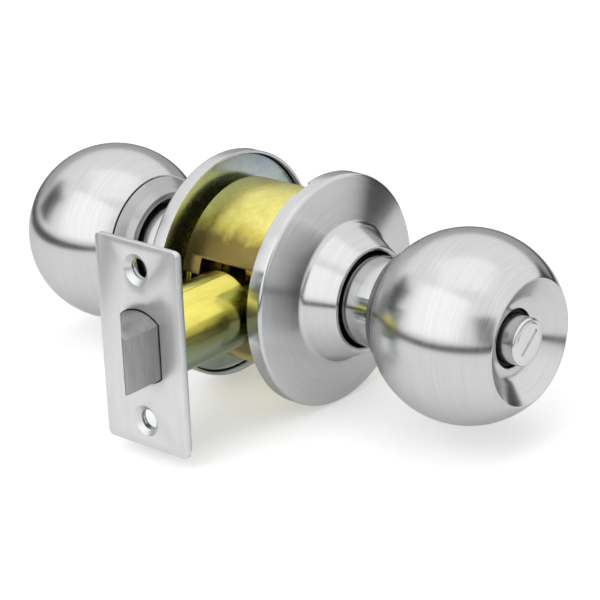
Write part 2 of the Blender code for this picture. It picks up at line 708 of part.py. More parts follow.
# ---------------------------------------------------------------- key cylinder
def make_key_cylinder(ball):
    """The key cylinder in the outside knob, with its plug and the tailpiece behind it."""
    front = DISH_FLOOR_W - CYLINDER_BELOW_DISH
    rear = front - CYLINDER_LENGTH
    bore_r = PLUG_R + SEAT_GAP
    head_seat = front - PLUG_HEAD_T - SEAT_GAP
    body = [
        (bore_r, rear),
        (GUIDE_R, rear),
        (GUIDE_R, front),
        (PLUG_HEAD_R + SEAT_GAP, front),
        (PLUG_HEAD_R + SEAT_GAP, head_seat),
        (bore_r, head_seat),
    ]
    turned("key_cylinder", body, MEDIUM_STEPS, "brass", ball)
    axis = pivot("key_plug_axis", (0.0, 0.0, 0.0), parent=ball)
    face = front + PLUG_PROUD
    plug = [
        (0.0, rear - SEAT_GAP),
        (PLUG_R, rear - SEAT_GAP),
        (PLUG_R, front - PLUG_HEAD_T),
        (PLUG_HEAD_R, front - PLUG_HEAD_T),
        (PLUG_HEAD_R, face - PLUG_EDGE),
        (PLUG_HEAD_R - PLUG_EDGE, face),
        (0.0, face),
    ]
    piece = turned("key_plug", plug, SMALL_STEPS, "brass", axis)
    half_width = KEYWAY_WIDTH / 2
    half_height = KEYWAY_HEIGHT / 2
    keyway = prism_mesh(
        "keyway",
        rectangle(-half_width, half_width, -half_height, half_height),
        "Y",
        face - KEYWAY_DEPTH,
        face + CUT_PAST,
    )
    tool(piece, "keyway", keyway)
    start = OUTSIDE_RING_END + TAILPIECE_FROM_RING - OUTSIDE_DOOR_FACE - KNOB_CENTRE
    tailpiece = prism_mesh(
        "tailpiece",
        rectangle(-TAILPIECE_T / 2, TAILPIECE_T / 2, -TAILPIECE_WIDTH / 2, TAILPIECE_WIDTH / 2),
        "Y",
        start,
        rear - 2 * SEAT_GAP,
    )
    add_piece("tailpiece", tailpiece, "yellow_zinc", axis)


# ---------------------------------------------------------------- chassis
def make_case(root):
    """The yellow-plated drum, open towards the latch and slotted at its outside end."""
    case = turned(
        "chassis_case",
        ring_outline(CASE_BORE_R, CASE_R, *CASE_Y),
        LARGE_STEPS,
        "yellow_zinc",
        root,
    )
    window = prism_mesh(
        "latch_window",
        rectangle(-CASE_R - CUT_PAST, 0.0, -CASE_OPENING_BOTTOM, CASE_OPENING_TOP),
        "Y",
        CASE_OPENING_Y[0],
        CASE_OPENING_Y[1],
    )
    tool(case, "latch_window", window)
    slot = prism_mesh(
        "end_slot",
        rectangle(-CASE_R - CUT_PAST, 0.0, -CASE_SLOT_HALF, CASE_SLOT_HALF),
        "Y",
        0.0,
        CASE_Y[1] + CUT_PAST,
    )
    tool(case, "end_slot", slot)


def make_end_plates(root):
    """Discs that close the case's ends, with bearings for the spindles and holes for the screws."""
    for side, start, end in (
        ("inside", CASE_Y[0], CASE_Y[0] + END_PLATE_T),
        ("outside", CASE_Y[1] - END_PLATE_T, CASE_Y[1]),
    ):
        outline = ring_outline(BEARING_R, CASE_BORE_R - SEAT_GAP, start, end)
        plate = turned(side + "_end_plate", outline, LARGE_STEPS, "yellow_zinc", root)
        if side == "inside":
            for word, sign in (("upper", 1.0), ("lower", -1.0)):
                drill(
                    plate,
                    word + "_end_plate_hole",
                    SCREW_R + SLIDE_GAP,
                    "Y",
                    start - CUT_PAST,
                    end + CUT_PAST,
                    (0.0, 0.0, sign * POST_Z),
                    TINY_STEPS,
                )


def make_hubs(root):
    """Threaded sleeves that stand on the end plates and carry the roses' plates."""
    for side, data in SIDES.items():
        sign = data["sign"]
        case_end = CASE_Y[0] if side == "inside" else CASE_Y[1]
        start = case_end + sign * SEAT_GAP
        end = data["door"] + sign * HUB_REACH
        outline = ring_outline(BEARING_R, HUB_R, start, end)
        turned(side + "_hub", outline, MEDIUM_STEPS, "yellow_zinc", root)


def make_screws(root):
    """Two screws that draw the inside plate to posts on the outside end plate."""
    post_end = CASE_Y[1] - END_PLATE_T - SEAT_GAP
    post_start = post_end - POST_LENGTH
    head_start = INSIDE_DOOR_FACE - SEAT_GAP - PLATE_T - SEAT_GAP
    head_end = head_start - SCREW_HEAD_T
    for word, sign in (("upper", 1.0), ("lower", -1.0)):
        at = (0.0, 0.0, sign * POST_Z)
        post_mesh = turned_mesh(
            word + "_screw_post",
            ring_outline(SCREW_R + SEAT_GAP, POST_R, post_start, post_end),
            TINY_STEPS,
        )
        add_piece(word + "_screw_post", post_mesh, "yellow_zinc", root, at)
        outline = [
            (0.0, head_end),
            (SCREW_HEAD_R - SCREW_HEAD_EDGE, head_end),
            (SCREW_HEAD_R, head_start - SCREW_HEAD_EDGE),
            (SCREW_HEAD_R, head_start),
            (SCREW_R, head_start),
            (SCREW_R, post_end - SCREW_BLIND),
            (0.0, post_end - SCREW_BLIND),
        ]
        mesh = turned_mesh(word + "_mounting_screw", outline, TINY_STEPS)
        screw = add_piece(word + "_mounting_screw", mesh, "clear_zinc", root, at)
        half = SCREW_SLOT / 2
        for label, shape in (
            ("slot_a", rectangle(-SCREW_HEAD_R / 2, SCREW_HEAD_R / 2, -half, half)),
            ("slot_b", rectangle(-half, half, -SCREW_HEAD_R / 2, SCREW_HEAD_R / 2)),
        ):
            name = word + "_screw_" + label
            cut = prism_mesh(name, shape, "Y", head_end - CUT_PAST, head_end + SCREW_SLOT_DEPTH)
            tool(screw, name, cut, location=at)


def make_mounting_plate(root):
    """The inside plate that the rose snaps on to."""
    start = INSIDE_DOOR_FACE - SEAT_GAP
    outline = ring_outline(HUB_R + SEAT_GAP, ROSE_R - ROSE_WALL - SEAT_GAP, start, start - PLATE_T)
    plate = turned("inside_mounting_plate", outline, LARGE_STEPS, "clear_zinc", root)
    for word, sign in (("upper", 1.0), ("lower", -1.0)):
        drill(
            plate,
            word + "_plate_hole",
            SCREW_R + SLIDE_GAP,
            "Y",
            start - PLATE_T - CUT_PAST,
            start + CUT_PAST,
            (0.0, 0.0, sign * POST_Z),
            TINY_STEPS,
        )


def make_liner(root):
    """The threaded plate inside the outside rose, which runs on the outside hub."""
    start = OUTSIDE_DOOR_FACE + LINER_RECESS
    end = start + LINER_T
    edge = ROSE_R - ROSE_WALL - SEAT_GAP
    outline = [
        (HUB_R + SEAT_GAP, start),
        (edge, start),
        (edge, end - LINER_EDGE[1]),
        (edge - LINER_EDGE[0], end),
        (HUB_R + LINER_BOSS[0], end),
        (HUB_R + LINER_BOSS[0], end + LINER_BOSS[1]),
        (HUB_R + SEAT_GAP, end + LINER_BOSS[1]),
    ]
    turned("outside_rose_liner", outline, LARGE_STEPS, "clear_zinc", root)


# ---------------------------------------------------------------- retractor
def make_retractor(root):
    """The sliding U that the fingers push, its two springs, their seat and the guides."""
    axis = pivot("retractor_axis", (0.0, 0.0, 0.0), parent=root)
    height = RETRACTOR_HALF_HEIGHT
    slot = RETRACTOR_SLOT_HALF
    claw = TAIL_HALF_HEIGHT + SEAT_GAP
    bridge = RETRACTOR_BACK - RETRACTOR_BRIDGE
    upper = [
        (RETRACTOR_BACK, height),
        (RETRACTOR_FRONT, height),
        (RETRACTOR_FRONT, slot + CLAW_DEPTH),
        (CLAW_X, slot + CLAW_DEPTH),
        (CLAW_X, claw),
        (CLAW_X + CLAW_T, claw),
        (CLAW_X + CLAW_T, slot),
        (bridge, slot),
    ]
    outline = upper + [(x, -z) for x, z in reversed(upper)]
    mesh = prism_mesh("retractor_slide", outline, "Y", -RETRACTOR_HALF_WIDTH, RETRACTOR_HALF_WIDTH)
    retractor = add_piece("retractor_slide", mesh, "yellow_zinc", axis)
    finger_edge = SPINDLE_BORE_R * math.sin(FINGER_ANGLE) + FINGER_HALF_WIDTH * math.cos(FINGER_ANGLE)
    lug_x = finger_edge + SEAT_GAP
    lug_low = INSIDE_RING_END + 2 * SEAT_GAP
    lug_high = OUTSIDE_RING_END - LUG_SHORT
    lug = prism_mesh(
        "retractor_lugs",
        rectangle(lug_x, lug_x + LUG_T, height - LUG_DROP, height),
        "Y",
        lug_low,
        lug_high,
    )
    tool(retractor, "retractor_lugs", lug, operation="UNION")
    for word, sign in (("upper", 1.0), ("lower", -1.0)):
        at = (0.0, 0.0, sign * RETRACTOR_SPRING_Z)
        drill(
            retractor,
            word + "_spring_bore",
            RETRACTOR_SPRING_BORE_R,
            "X",
            RETRACTOR_BACK - THROW,
            RETRACTOR_BACK + CUT_PAST,
            at,
            TINY_STEPS,
        )
        coil(
            word + "_retractor_spring",
            RETRACTOR_SPRING,
            RETRACTOR_BACK - THROW + SEAT_GAP,
            SEAT_X - SEAT_T - SEAT_GAP,
            "X",
            "spring_steel",
            root,
            at,
        )
    seat_y = (CASE_Y[0] + END_PLATE_T + SEAT_GAP, RETRACTOR_HALF_WIDTH + SEAT_PAST)
    seat = prism_mesh("spring_seat", rectangle(*seat_y, -height, height), "X", SEAT_X - SEAT_T, SEAT_X)
    add_piece("spring_seat", seat, "clear_zinc", root)
    reach = math.sqrt((CASE_BORE_R - SEAT_GAP) ** 2 - (GUIDE_Z + GUIDE_T) ** 2)
    for word, sign in (("upper", 1.0), ("lower", -1.0)):
        low, high = sorted((sign * GUIDE_Z, sign * (GUIDE_Z + GUIDE_T)))
        guide = prism_mesh(
            word + "_retractor_guide",
            rectangle(-reach, reach, low, high),
            "Y",
            CASE_Y[0] + END_PLATE_T + SEAT_GAP,
            CASE_Y[1] - END_PLATE_T - SEAT_GAP,
        )
        add_piece(word + "_retractor_guide", guide, "yellow_zinc", root)


# ---------------------------------------------------------------- latch
def bolt_section(clearance=0.0):
    """A round bar with two flats, as (y, z) points."""
    radius = BOLT_R + clearance
    half = BOLT_HALF_WIDTH + clearance
    corner = math.degrees(math.acos(half / radius))
    top = arc((0.0, 0.0), radius, corner, 180.0 - corner, 8)
    bottom = arc((0.0, 0.0), radius, 180.0 + corner, 360.0 - corner, 8)
    return top + bottom


def make_plates(latch):
    """The faceplate and the backing plate, with the bolt's opening and two screw holes."""
    half_y = FACEPLATE_WIDTH / 2
    half_z = FACEPLATE_HEIGHT / 2
    faceplate = add_piece(
        "latch_faceplate",
        prism_mesh(
            "latch_faceplate",
            rounded_rectangle(half_y, half_z, FACEPLATE_CORNER_R),
            "X",
            -BACKSET,
            FACEPLATE_BACK,
        ),
        "satin_stainless",
        latch,
    )
    backplate = add_piece(
        "latch_backplate",
        prism_mesh(
            "latch_backplate",
            rounded_rectangle(
                half_y - BACKPLATE_INSET,
                half_z - BACKPLATE_INSET,
                FACEPLATE_CORNER_R,
            ),
            "X",
            FACEPLATE_BACK + SEAT_GAP,
            BACKPLATE_BACK,
        ),
        "clear_zinc",
        latch,
    )
    bolt_opening = prism_mesh(
        "bolt_opening",
        bolt_section(SEAT_GAP),
        "X",
        -BACKSET - CUT_PAST,
        FACEPLATE_BACK + CUT_PAST,
    )
    tool(faceplate, "bolt_opening", bolt_opening)
    drill(
        backplate,
        "tube_opening",
        TUBE_R + SEAT_GAP,
        "X",
        FACEPLATE_BACK - CUT_PAST,
        BACKPLATE_BACK + CUT_PAST,
        (0.0, 0.0, 0.0),
        MEDIUM_STEPS,
    )
    for plate, word in ((faceplate, "face"), (backplate, "back")):
        for label, sign in (("upper", 1.0), ("lower", -1.0)):
            drill(
                plate,
                word + "_" + label + "_screw_hole",
                SCREW_HOLE_R,
                "X",
                -BACKSET - CUT_PAST,
                BACKPLATE_BACK + CUT_PAST,
                (0.0, 0.0, sign * SCREW_HOLE_SPACING / 2),
            )
    for label, sign in (("upper", 1.0), ("lower", -1.0)):
        name = label + "_countersink"
        slope = (COUNTERSINK_R - SCREW_HOLE_R) / COUNTERSINK_DEPTH
        outline = [
            (0.0, -BACKSET - CUT_PAST),
            (COUNTERSINK_R + CUT_PAST * slope, -BACKSET - CUT_PAST),
            (SCREW_HOLE_R - COUNTERSINK_PAST * slope, -BACKSET + COUNTERSINK_DEPTH + COUNTERSINK_PAST),
            (0.0, -BACKSET + COUNTERSINK_DEPTH + COUNTERSINK_PAST),
        ]
        mesh = turned_mesh(name, outline, SMALL_STEPS)
        mesh.transform(Matrix.Rotation(math.radians(-90.0), 4, "Z"))
        tool(faceplate, name, mesh, location=(0.0, 0.0, sign * SCREW_HOLE_SPACING / 2))


def x_turned(name, outline, steps, finish, parent):
    """A turned piece on the latch's axis. The outline's points are (radius, x)."""
    mesh = turned_mesh(name, outline, steps)
    mesh.transform(Matrix.Rotation(math.radians(-90.0), 4, "Z"))
    return add_piece(name, mesh, finish, parent)


def make_latch(root):
    """Faceplates, tube, tube cap with prongs, bolt, tail and spring."""
    latch = pivot("latch_axis", (0.0, 0.0, 0.0), parent=root)
    make_plates(latch)
    x_turned(
        "latch_tube",
        ring_outline(TUBE_BORE_R, TUBE_R, *TUBE_X),
        MEDIUM_STEPS,
        "yellow_zinc",
        latch,
    )
    cap_start = TUBE_X[1] - TUBE_CAP_T
    cap = x_turned(
        "latch_tube_cap",
        [(0.0, cap_start), (BOLT_R, cap_start), (BOLT_R, TUBE_X[1]), (0.0, TUBE_X[1])],
        MEDIUM_STEPS,
        "yellow_zinc",
        latch,
    )
    for word, sign in (("upper", 1.0), ("lower", -1.0)):
        low, high = sorted((sign * (PRONG_Z - PRONG_T / 2), sign * (PRONG_Z + PRONG_T / 2)))
        prong = prism_mesh(
            word + "_prong",
            rectangle(-PRONG_WIDTH / 2, PRONG_WIDTH / 2, low, high),
            "X",
            cap_start + PRONG_ROOT,
            TUBE_X[1] + PRONG_REACH,
        )
        tool(cap, word + "_prong", prong, operation="UNION")
    gate_y = TAIL_HALF_T + SEAT_GAP
    gate_z = TAIL_HALF_HEIGHT + SEAT_GAP
    gate = prism_mesh(
        "tail_gate",
        rectangle(-gate_y, gate_y, -gate_z, gate_z),
        "X",
        cap_start - CUT_PAST,
        TUBE_X[1] + CUT_PAST,
    )
    tool(cap, "tail_gate", gate)

    slide = pivot("bolt_slide_axis", (0.0, 0.0, 0.0), parent=latch)
    tip = -BACKSET - THROW
    rear = tip + BOLT_LENGTH
    bolt_mesh = prism_mesh("latch_bolt", bolt_section(), "X", tip, rear)
    bolt = add_piece("latch_bolt", bolt_mesh, "satin_stainless", slide)
    half = BOLT_HALF_WIDTH
    bevel_end = tip + THROW - BEVEL_SHORT
    slope = (2 * half - BOLT_NOSE) / (bevel_end - tip)
    wedge = [
        (tip - CUT_PAST, -half + BOLT_NOSE - CUT_PAST * slope),
        (bevel_end + SEAT_GAP, half + SEAT_GAP * slope),
        (tip - CUT_PAST, half + SEAT_GAP * slope),
    ]
    bevel_shape = bmesh.new()
    corners = [bevel_shape.verts.new((x, y, -BOLT_R - CUT_PAST)) for x, y in wedge]
    face = bevel_shape.faces.new(corners)
    grown = bmesh.ops.extrude_face_region(bevel_shape, geom=[face])
    moved = [item for item in grown["geom"] if isinstance(item, bmesh.types.BMVert)]
    bmesh.ops.translate(bevel_shape, verts=moved, vec=(0.0, 0.0, 2 * (BOLT_R + CUT_PAST)))
    tool(bolt, "bolt_bevel", close_mesh("bolt_bevel", bevel_shape))
    pocket = prism_mesh(
        "tail_pocket",
        rectangle(-gate_y, gate_y, -gate_z, gate_z),
        "X",
        rear - BOLT_POCKET,
        rear + CUT_PAST,
    )
    tool(bolt, "tail_pocket", pocket)

    head_x = CLAW_X + CLAW_T + SEAT_GAP
    neck_start = rear - BOLT_POCKET + SEAT_GAP
    upper = [
        (neck_start, TAIL_HALF_HEIGHT),
        (head_x, TAIL_HALF_HEIGHT),
        (head_x, TAIL_HEAD_HALF),
        (head_x + TAIL_HEAD_T, TAIL_HEAD_HALF),
    ]
    outline = upper + [(x, -z) for x, z in reversed(upper)]
    tail = prism_mesh("latch_tail", outline, "Y", -TAIL_HALF_T, TAIL_HALF_T)
    add_piece("latch_tail", tail, "yellow_zinc", slide)
    coil(
        "latch_spring",
        LATCH_SPRING,
        rear + SEAT_GAP,
        cap_start - SEAT_GAP,
        "X",
        "spring_steel",
        latch,
    )


# ---------------------------------------------------------------- whole lock
def main():
    clear_scene()
    root = pivot("door_knob_set", (0.0, 0.0, 0.0))
    make_case(root)
    make_end_plates(root)
    make_hubs(root)
    make_screws(root)
    make_mounting_plate(root)
    make_liner(root)
    make_retractor(root)
    make_latch(root)
    balls = {}
    for side, data in SIDES.items():
        make_rose(side, data, root)
        turning = pivot(side + "_knob_axis", (0.0, data["door"], 0.0), parent=root)
        balls[side] = make_knob(side, data, turning)
    make_button(balls["inside"])
    make_key_cylinder(balls["outside"])


main()
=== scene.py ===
# %% [markdown]
# # A cylindrical door knob set, finished for the eye
#
# The lock is a drum that sits in a door, with a turned knob on each side and a spring latch that
# points out of the door's edge. Its sizes, fits and joints come ready made as a fixed frame. This
# lesson gives it its looks: smooth turned and pressed shapes in place of the faceted ones, and a
# finish for every metal. Each step says what the piece is on the real lock, how it could be made in
# Blender, and why this way was chosen.

# %% Load the frame
import json
import math

import bmesh
import bpy
from mathutils import Matrix, Vector


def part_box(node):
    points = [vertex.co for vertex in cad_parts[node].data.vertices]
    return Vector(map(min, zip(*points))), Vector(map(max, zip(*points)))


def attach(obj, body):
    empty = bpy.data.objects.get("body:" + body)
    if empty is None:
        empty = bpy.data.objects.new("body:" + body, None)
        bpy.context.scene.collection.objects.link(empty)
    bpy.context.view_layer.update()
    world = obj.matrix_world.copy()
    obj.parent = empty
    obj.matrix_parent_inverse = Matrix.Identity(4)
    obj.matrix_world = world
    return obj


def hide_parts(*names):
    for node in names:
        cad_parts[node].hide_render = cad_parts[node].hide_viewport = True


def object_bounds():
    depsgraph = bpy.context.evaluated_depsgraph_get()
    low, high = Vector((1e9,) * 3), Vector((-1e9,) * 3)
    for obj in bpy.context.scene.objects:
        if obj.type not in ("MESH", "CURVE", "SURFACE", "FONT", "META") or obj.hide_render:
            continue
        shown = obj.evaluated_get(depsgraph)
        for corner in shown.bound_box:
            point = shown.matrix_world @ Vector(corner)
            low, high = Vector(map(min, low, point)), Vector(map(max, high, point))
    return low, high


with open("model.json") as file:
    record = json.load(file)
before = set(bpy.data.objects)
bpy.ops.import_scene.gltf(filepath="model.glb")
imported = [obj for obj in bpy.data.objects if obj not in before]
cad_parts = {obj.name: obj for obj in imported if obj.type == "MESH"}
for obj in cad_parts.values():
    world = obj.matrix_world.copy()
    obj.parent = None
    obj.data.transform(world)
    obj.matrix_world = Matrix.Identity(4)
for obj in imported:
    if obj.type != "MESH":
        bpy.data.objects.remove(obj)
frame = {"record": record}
CAD_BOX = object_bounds()
MM = 0.001
PAST = 2.0 * MM  # how far a cutter reaches past what it cuts
FIT = 0.3 * MM  # the gap between pieces that fit in each other

# %% [markdown]
# ## Sizes
#
# A finished piece has to lie where its plain twin lies, so its sizes are read from the frame. The
# knobs turn about Y and the latch slides along X. A round piece's box gives its radius and its two
# ends. What a box can't tell, such as a wall or a rolled edge, is a named value in millimetres.


# %% Read sizes from the frame
def radius_of(node):
    """The radius of a piece that is round about the knobs' axis."""
    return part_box(node)[1].x


def ends_of(node, axis="y"):
    low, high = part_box(node)
    return getattr(low, axis), getattr(high, axis)


INSIDE_DOOR = ends_of("inside_rose")[1]
OUTSIDE_DOOR = ends_of("outside_rose")[0]
KNOB_R = radius_of("inside_knob_shell")
ROSE_R = radius_of("inside_rose")
SHANK_R = radius_of("inside_knob_shank")
CASE_R = -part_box("inside_end_plate")[0].x + 1.5 * MM
TUBE_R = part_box("latch_tube")[1].z
FACE_X, FACE_BACK_X = ends_of("latch_faceplate", "x")
for word, value in (("knob", KNOB_R), ("rose", ROSE_R), ("shank", SHANK_R), ("tube", TUBE_R)):
    print(word, "radius", round(value / MM, 2), "mm")

# %% [markdown]
# ## Camera
#
# The set is looked at from the inside knob's side, from above, with the latch towards the viewer. A
# long lens keeps both knobs nearly the same size. The camera is placed by an azimuth, an elevation
# and a distance from the point it looks at, which says more to a reader than a row of matrix values.

# %% Place the camera
CAMERA_AZIMUTH = math.radians(-48.7)
CAMERA_ELEVATION = math.radians(21.5)
CAMERA_ROLL = math.radians(-2.24)
CAMERA_DISTANCE = 0.6112
CAMERA_AIM = (0.0021, 0.00605)  # how far right of the origin and above it the lens points
LENS = 132.3


def camera_axes(azimuth, elevation, roll):
    """The camera's right, up and back directions."""
    back = Vector((
        math.sin(azimuth) * math.cos(elevation),
        -math.cos(azimuth) * math.cos(elevation),
        math.sin(elevation),
    ))
    level = Vector((0.0, 0.0, 1.0)).cross(back).normalized()
    upright = back.cross(level)
    right = level * math.cos(roll) + upright * math.sin(roll)
    return right, back.cross(right), back


right, up, back = camera_axes(CAMERA_AZIMUTH, CAMERA_ELEVATION, CAMERA_ROLL)
camera = bpy.data.objects.new("camera", bpy.data.cameras.new("camera"))
bpy.context.scene.collection.objects.link(camera)
camera.data.lens = LENS
camera.data.clip_start = 0.01
place = Matrix((right, up, back)).transposed().to_4x4()
place.translation = right * CAMERA_AIM[0] - up * CAMERA_AIM[1] + back * CAMERA_DISTANCE
camera.matrix_world = place
bpy.context.scene.camera = camera
print("camera", [round(value, 3) for value in place.translation])

# %% [markdown]
# ## Floor and light
#
# Every piece of this lock is metal, and a metal shows little but its surroundings. So the light is
# built as a studio would build it: a white table and a white room, two broad soft lamps for the
# light and the shadow, white cards for the bright reflections, and dark cards that draw the soft
# dark edges a bright metal needs. The cards are seen only in reflections and throw no shadow. The
# lamps are kept out of the reflections, because a lamp would add to the room behind it and clip.


# %% Make the floor, the white room and the soft lamps
def linear(hex_colour):
    """An sRGB hex colour as linear red, green and blue."""
    channels = [int(hex_colour[index:index + 2], 16) / 255 for index in (1, 3, 5)]
    return [c / 12.92 if c <= 0.04045 else ((c + 0.055) / 1.055) ** 2.4 for c in channels]


def add(tree, kind, inputs=None, **settings):
    """Adds a node, sets its properties, and sets or links its inputs by name or number."""
    node = tree.nodes.new(kind)
    for name, value in settings.items():
        setattr(node, name, value)
    for name, value in (inputs or {}).items():
        if isinstance(value, bpy.types.NodeSocket):
            tree.links.new(value, node.inputs[name])
        else:
            node.inputs[name].default_value = value
    return node


def plain_material(name, colour, strength=None):
    """A material with one shader: matt, or glowing where a strength is given."""
    material = bpy.data.materials.new(name)
    material.use_nodes = True
    tree = material.node_tree
    tree.nodes.clear()
    if strength is None:
        shader = add(tree, "ShaderNodeBsdfDiffuse", {"Color": (*linear(colour), 1.0)})
    else:
        shader = add(tree, "ShaderNodeEmission", {"Color": (*linear(colour), 1.0), "Strength": strength})
    add(tree, "ShaderNodeOutputMaterial", {"Surface": shader.outputs[0]})
    return material


def flat_card(name, width, height, location, target, material):
    """A flat card that faces the target."""
    mesh = bpy.data.meshes.new(name)
    corners = [(-width / 2, -height / 2, 0), (width / 2, -height / 2, 0),
               (width / 2, height / 2, 0), (-width / 2, height / 2, 0)]
    mesh.from_pydata(corners, [], [(0, 1, 2, 3)])
    card = bpy.data.objects.new(name, mesh)
    bpy.context.scene.collection.objects.link(card)
    card.location = location
    aim = Vector(target) - Vector(location)
    card.rotation_euler = aim.to_track_quat("Z", "Y").to_euler()
    mesh.materials.append(material)
    return card


def soft_lamp(name, location, size, power):
    """A broad lamp that points at the object and lights it without showing in it."""
    light = bpy.data.lights.new(name, "AREA")
    light.shape = "RECTANGLE"
    light.size, light.size_y = size
    light.energy = power
    lamp = bpy.data.objects.new(name, light)
    bpy.context.scene.collection.objects.link(lamp)
    lamp.location = location
    lamp.rotation_euler = (-Vector(location)).to_track_quat("-Z", "Y").to_euler()
    lamp.visible_glossy = False


def make_table():
    """A white table that the camera and the metal see at full white, and that keeps its shadow."""
    material = bpy.data.materials.new("white_table")
    material.use_nodes = True
    tree = material.node_tree
    tree.nodes.clear()
    paths = add(tree, "ShaderNodeLightPath").outputs
    seen = add(tree, "ShaderNodeMath", {0: paths["Is Camera Ray"], 1: paths["Is Transmission Ray"]},
               operation="MAXIMUM")
    direct = add(tree, "ShaderNodeMath", {0: seen.outputs[0], 1: TABLE_LIFT}, operation="MULTIPLY")
    mirrored = add(tree, "ShaderNodeMath", {0: paths["Is Glossy Ray"], 1: MIRRORED_LIFT},
                   operation="MULTIPLY")
    lift = add(tree, "ShaderNodeMath", {0: direct.outputs[0], 1: mirrored.outputs[0]})
    matt = add(tree, "ShaderNodeBsdfDiffuse", {"Color": (*linear("#F4F4F4"), 1.0)})
    glow = add(tree, "ShaderNodeEmission", {"Strength": lift.outputs[0]})
    both = add(tree, "ShaderNodeAddShader", {0: matt.outputs[0], 1: glow.outputs[0]})
    add(tree, "ShaderNodeOutputMaterial", {"Surface": both.outputs[0]})
    return material


FLOOR_Z = CAD_BOX[0][2] - 0.2 * MM
FLOOR_SIDE = 3.2
TABLE_LIFT = 0.36  # light added to the table where the camera sees it
MIRRORED_LIFT = 0.18  # and where the metal does
ROOM_LIGHT = 0.50
ROOM_WHITE = 1.15  # how white the room is to the camera and to the metal
flat_card("floor", FLOOR_SIDE, FLOOR_SIDE, (0, 0, FLOOR_Z), (0, 0, 1), make_table())

world = bpy.data.worlds.new("white_room")
bpy.context.scene.world = world
world.use_nodes = True
tree = world.node_tree
tree.nodes.clear()
room = add(tree, "ShaderNodeBackground", {"Color": (1.0, 1.0, 1.0, 1.0), "Strength": ROOM_LIGHT})
white = add(tree, "ShaderNodeBackground", {"Color": (1.0, 1.0, 1.0, 1.0), "Strength": ROOM_WHITE})
paths = add(tree, "ShaderNodeLightPath")
shown = add(tree, "ShaderNodeMath", {0: paths.outputs["Is Camera Ray"], 1: paths.outputs["Is Glossy Ray"]},
            operation="MAXIMUM")
shown = add(tree, "ShaderNodeMath", {0: shown.outputs[0], 1: paths.outputs["Is Transmission Ray"]},
            operation="MAXIMUM")
mix = add(tree, "ShaderNodeMixShader", {0: shown.outputs[0], 1: room.outputs[0], 2: white.outputs[0]})
add(tree, "ShaderNodeOutputWorld", {"Surface": mix.outputs[0]})


def around(azimuth, elevation, distance):
    """A place that many degrees round and up from the object, as the camera's own angles count."""
    a, e = math.radians(azimuth), math.radians(elevation)
    return Vector((math.sin(a) * math.cos(e), -math.cos(a) * math.cos(e), math.sin(e))) * distance


def only_reflected(card):
    """Keeps a card out of sight and out of the light, so that it only shows in the metal."""
    card.visible_camera = False
    card.visible_diffuse = False
    card.visible_shadow = False


DARK = plain_material("dark_card", "#363636", 1.0)
MIDDLE = plain_material("middle_card", "#7C7C7C", 1.0)
PALE = plain_material("pale_card", "#C4C4C4", 1.0)
BRIGHT = plain_material("key_card_white", "#FFFFFF", 1.56)
SOFT_WHITE = plain_material("top_card_white", "#FFFFFF", 1.42)
CARD_DISTANCE = 1.2
for name, width, height, azimuth, elevation, tone in (
    ("left_card", 0.56, 0.62, -162, 18, DARK),
    ("viewer_card", 0.46, 0.62, -31, 15, MIDDLE),
    ("right_card", 0.56, 0.50, 74, 4, DARK),
    ("back_card", 2.40, 0.80, 132, 8, PALE),
    ("key_card", 1.55, 1.20, -94, 31, BRIGHT),
    ("top_card", 1.20, 0.95, -60, 84, SOFT_WHITE),
):
    place = around(azimuth, elevation, CARD_DISTANCE)
    only_reflected(flat_card(name, width, height, place, (0.0, 0.0, 0.0), tone))

# A dark band lies on the table, far out. It draws the thin dark line across the knobs.
BAND_RADII = (0.27, 1.50)
BAND_STEPS = 96
band = bmesh.new()
turns = [2 * math.pi * step / BAND_STEPS for step in range(BAND_STEPS)]
rings = [[band.verts.new((radius * math.cos(turn), radius * math.sin(turn), FLOOR_Z + MM)) for turn in turns]
         for radius in BAND_RADII]
for step in range(BAND_STEPS):
    after = (step + 1) % BAND_STEPS
    band.faces.new((rings[0][step], rings[1][step], rings[1][after], rings[0][after]))
band_mesh = bpy.data.meshes.new("table_band")
band.to_mesh(band_mesh)
band.free()
band_mesh.materials.append(DARK)
table_band = bpy.data.objects.new("table_band", band_mesh)
bpy.context.scene.collection.objects.link(table_band)
only_reflected(table_band)

soft_lamp("key_lamp", around(-94, 33, 1.1), (1.35, 1.25), 7.4)
soft_lamp("top_lamp", (0.06, -0.10, 1.1), (1.1, 0.9), 3.7)
bpy.context.scene.view_settings.view_transform = "Standard"
print("floor at", round(FLOOR_Z / MM, 2), "mm")

# %% [markdown]
# ## Turned shapes
#
# Knobs, roses, shanks and the drum are all turned or spun, so one outline swept round an axis gives
# each of them. A Screw modifier would do it, but a small Geometry Nodes tree states the rule
# better: a grid has one column for each step of the turn and one row for each point of the outline,
# and every grid point is moved to its outline point, turned by its column's angle. The outline
# needs only its corners, each with a rounding radius, and a helper draws the roundings as arcs.


# %% Build the turning tree and its helpers
def new_tree(name, inputs):
    """A Geometry Nodes tree with named inputs, given as (name, socket type)."""
    tree = bpy.data.node_groups.new(name, "GeometryNodeTree")
    tree.interface.new_socket("Geometry", in_out="INPUT", socket_type="NodeSocketGeometry")
    for label, kind in inputs:
        tree.interface.new_socket(label, in_out="INPUT", socket_type=kind)
    tree.interface.new_socket("Material", in_out="INPUT", socket_type="NodeSocketMaterial")
    tree.interface.new_socket("Geometry", in_out="OUTPUT", socket_type="NodeSocketGeometry")
    return tree, add(tree, "NodeGroupInput")


def close_tree(tree, source, geometry):
    """Ends a tree in Realize Instances and Set Material."""
    real = add(tree, "GeometryNodeRealizeInstances", {0: geometry})
    painted = add(tree, "GeometryNodeSetMaterial", {"Geometry": real.outputs[0],
                                                    "Material": source.outputs["Material"]})
    add(tree, "NodeGroupOutput", {0: painted.outputs[0]})
    return tree


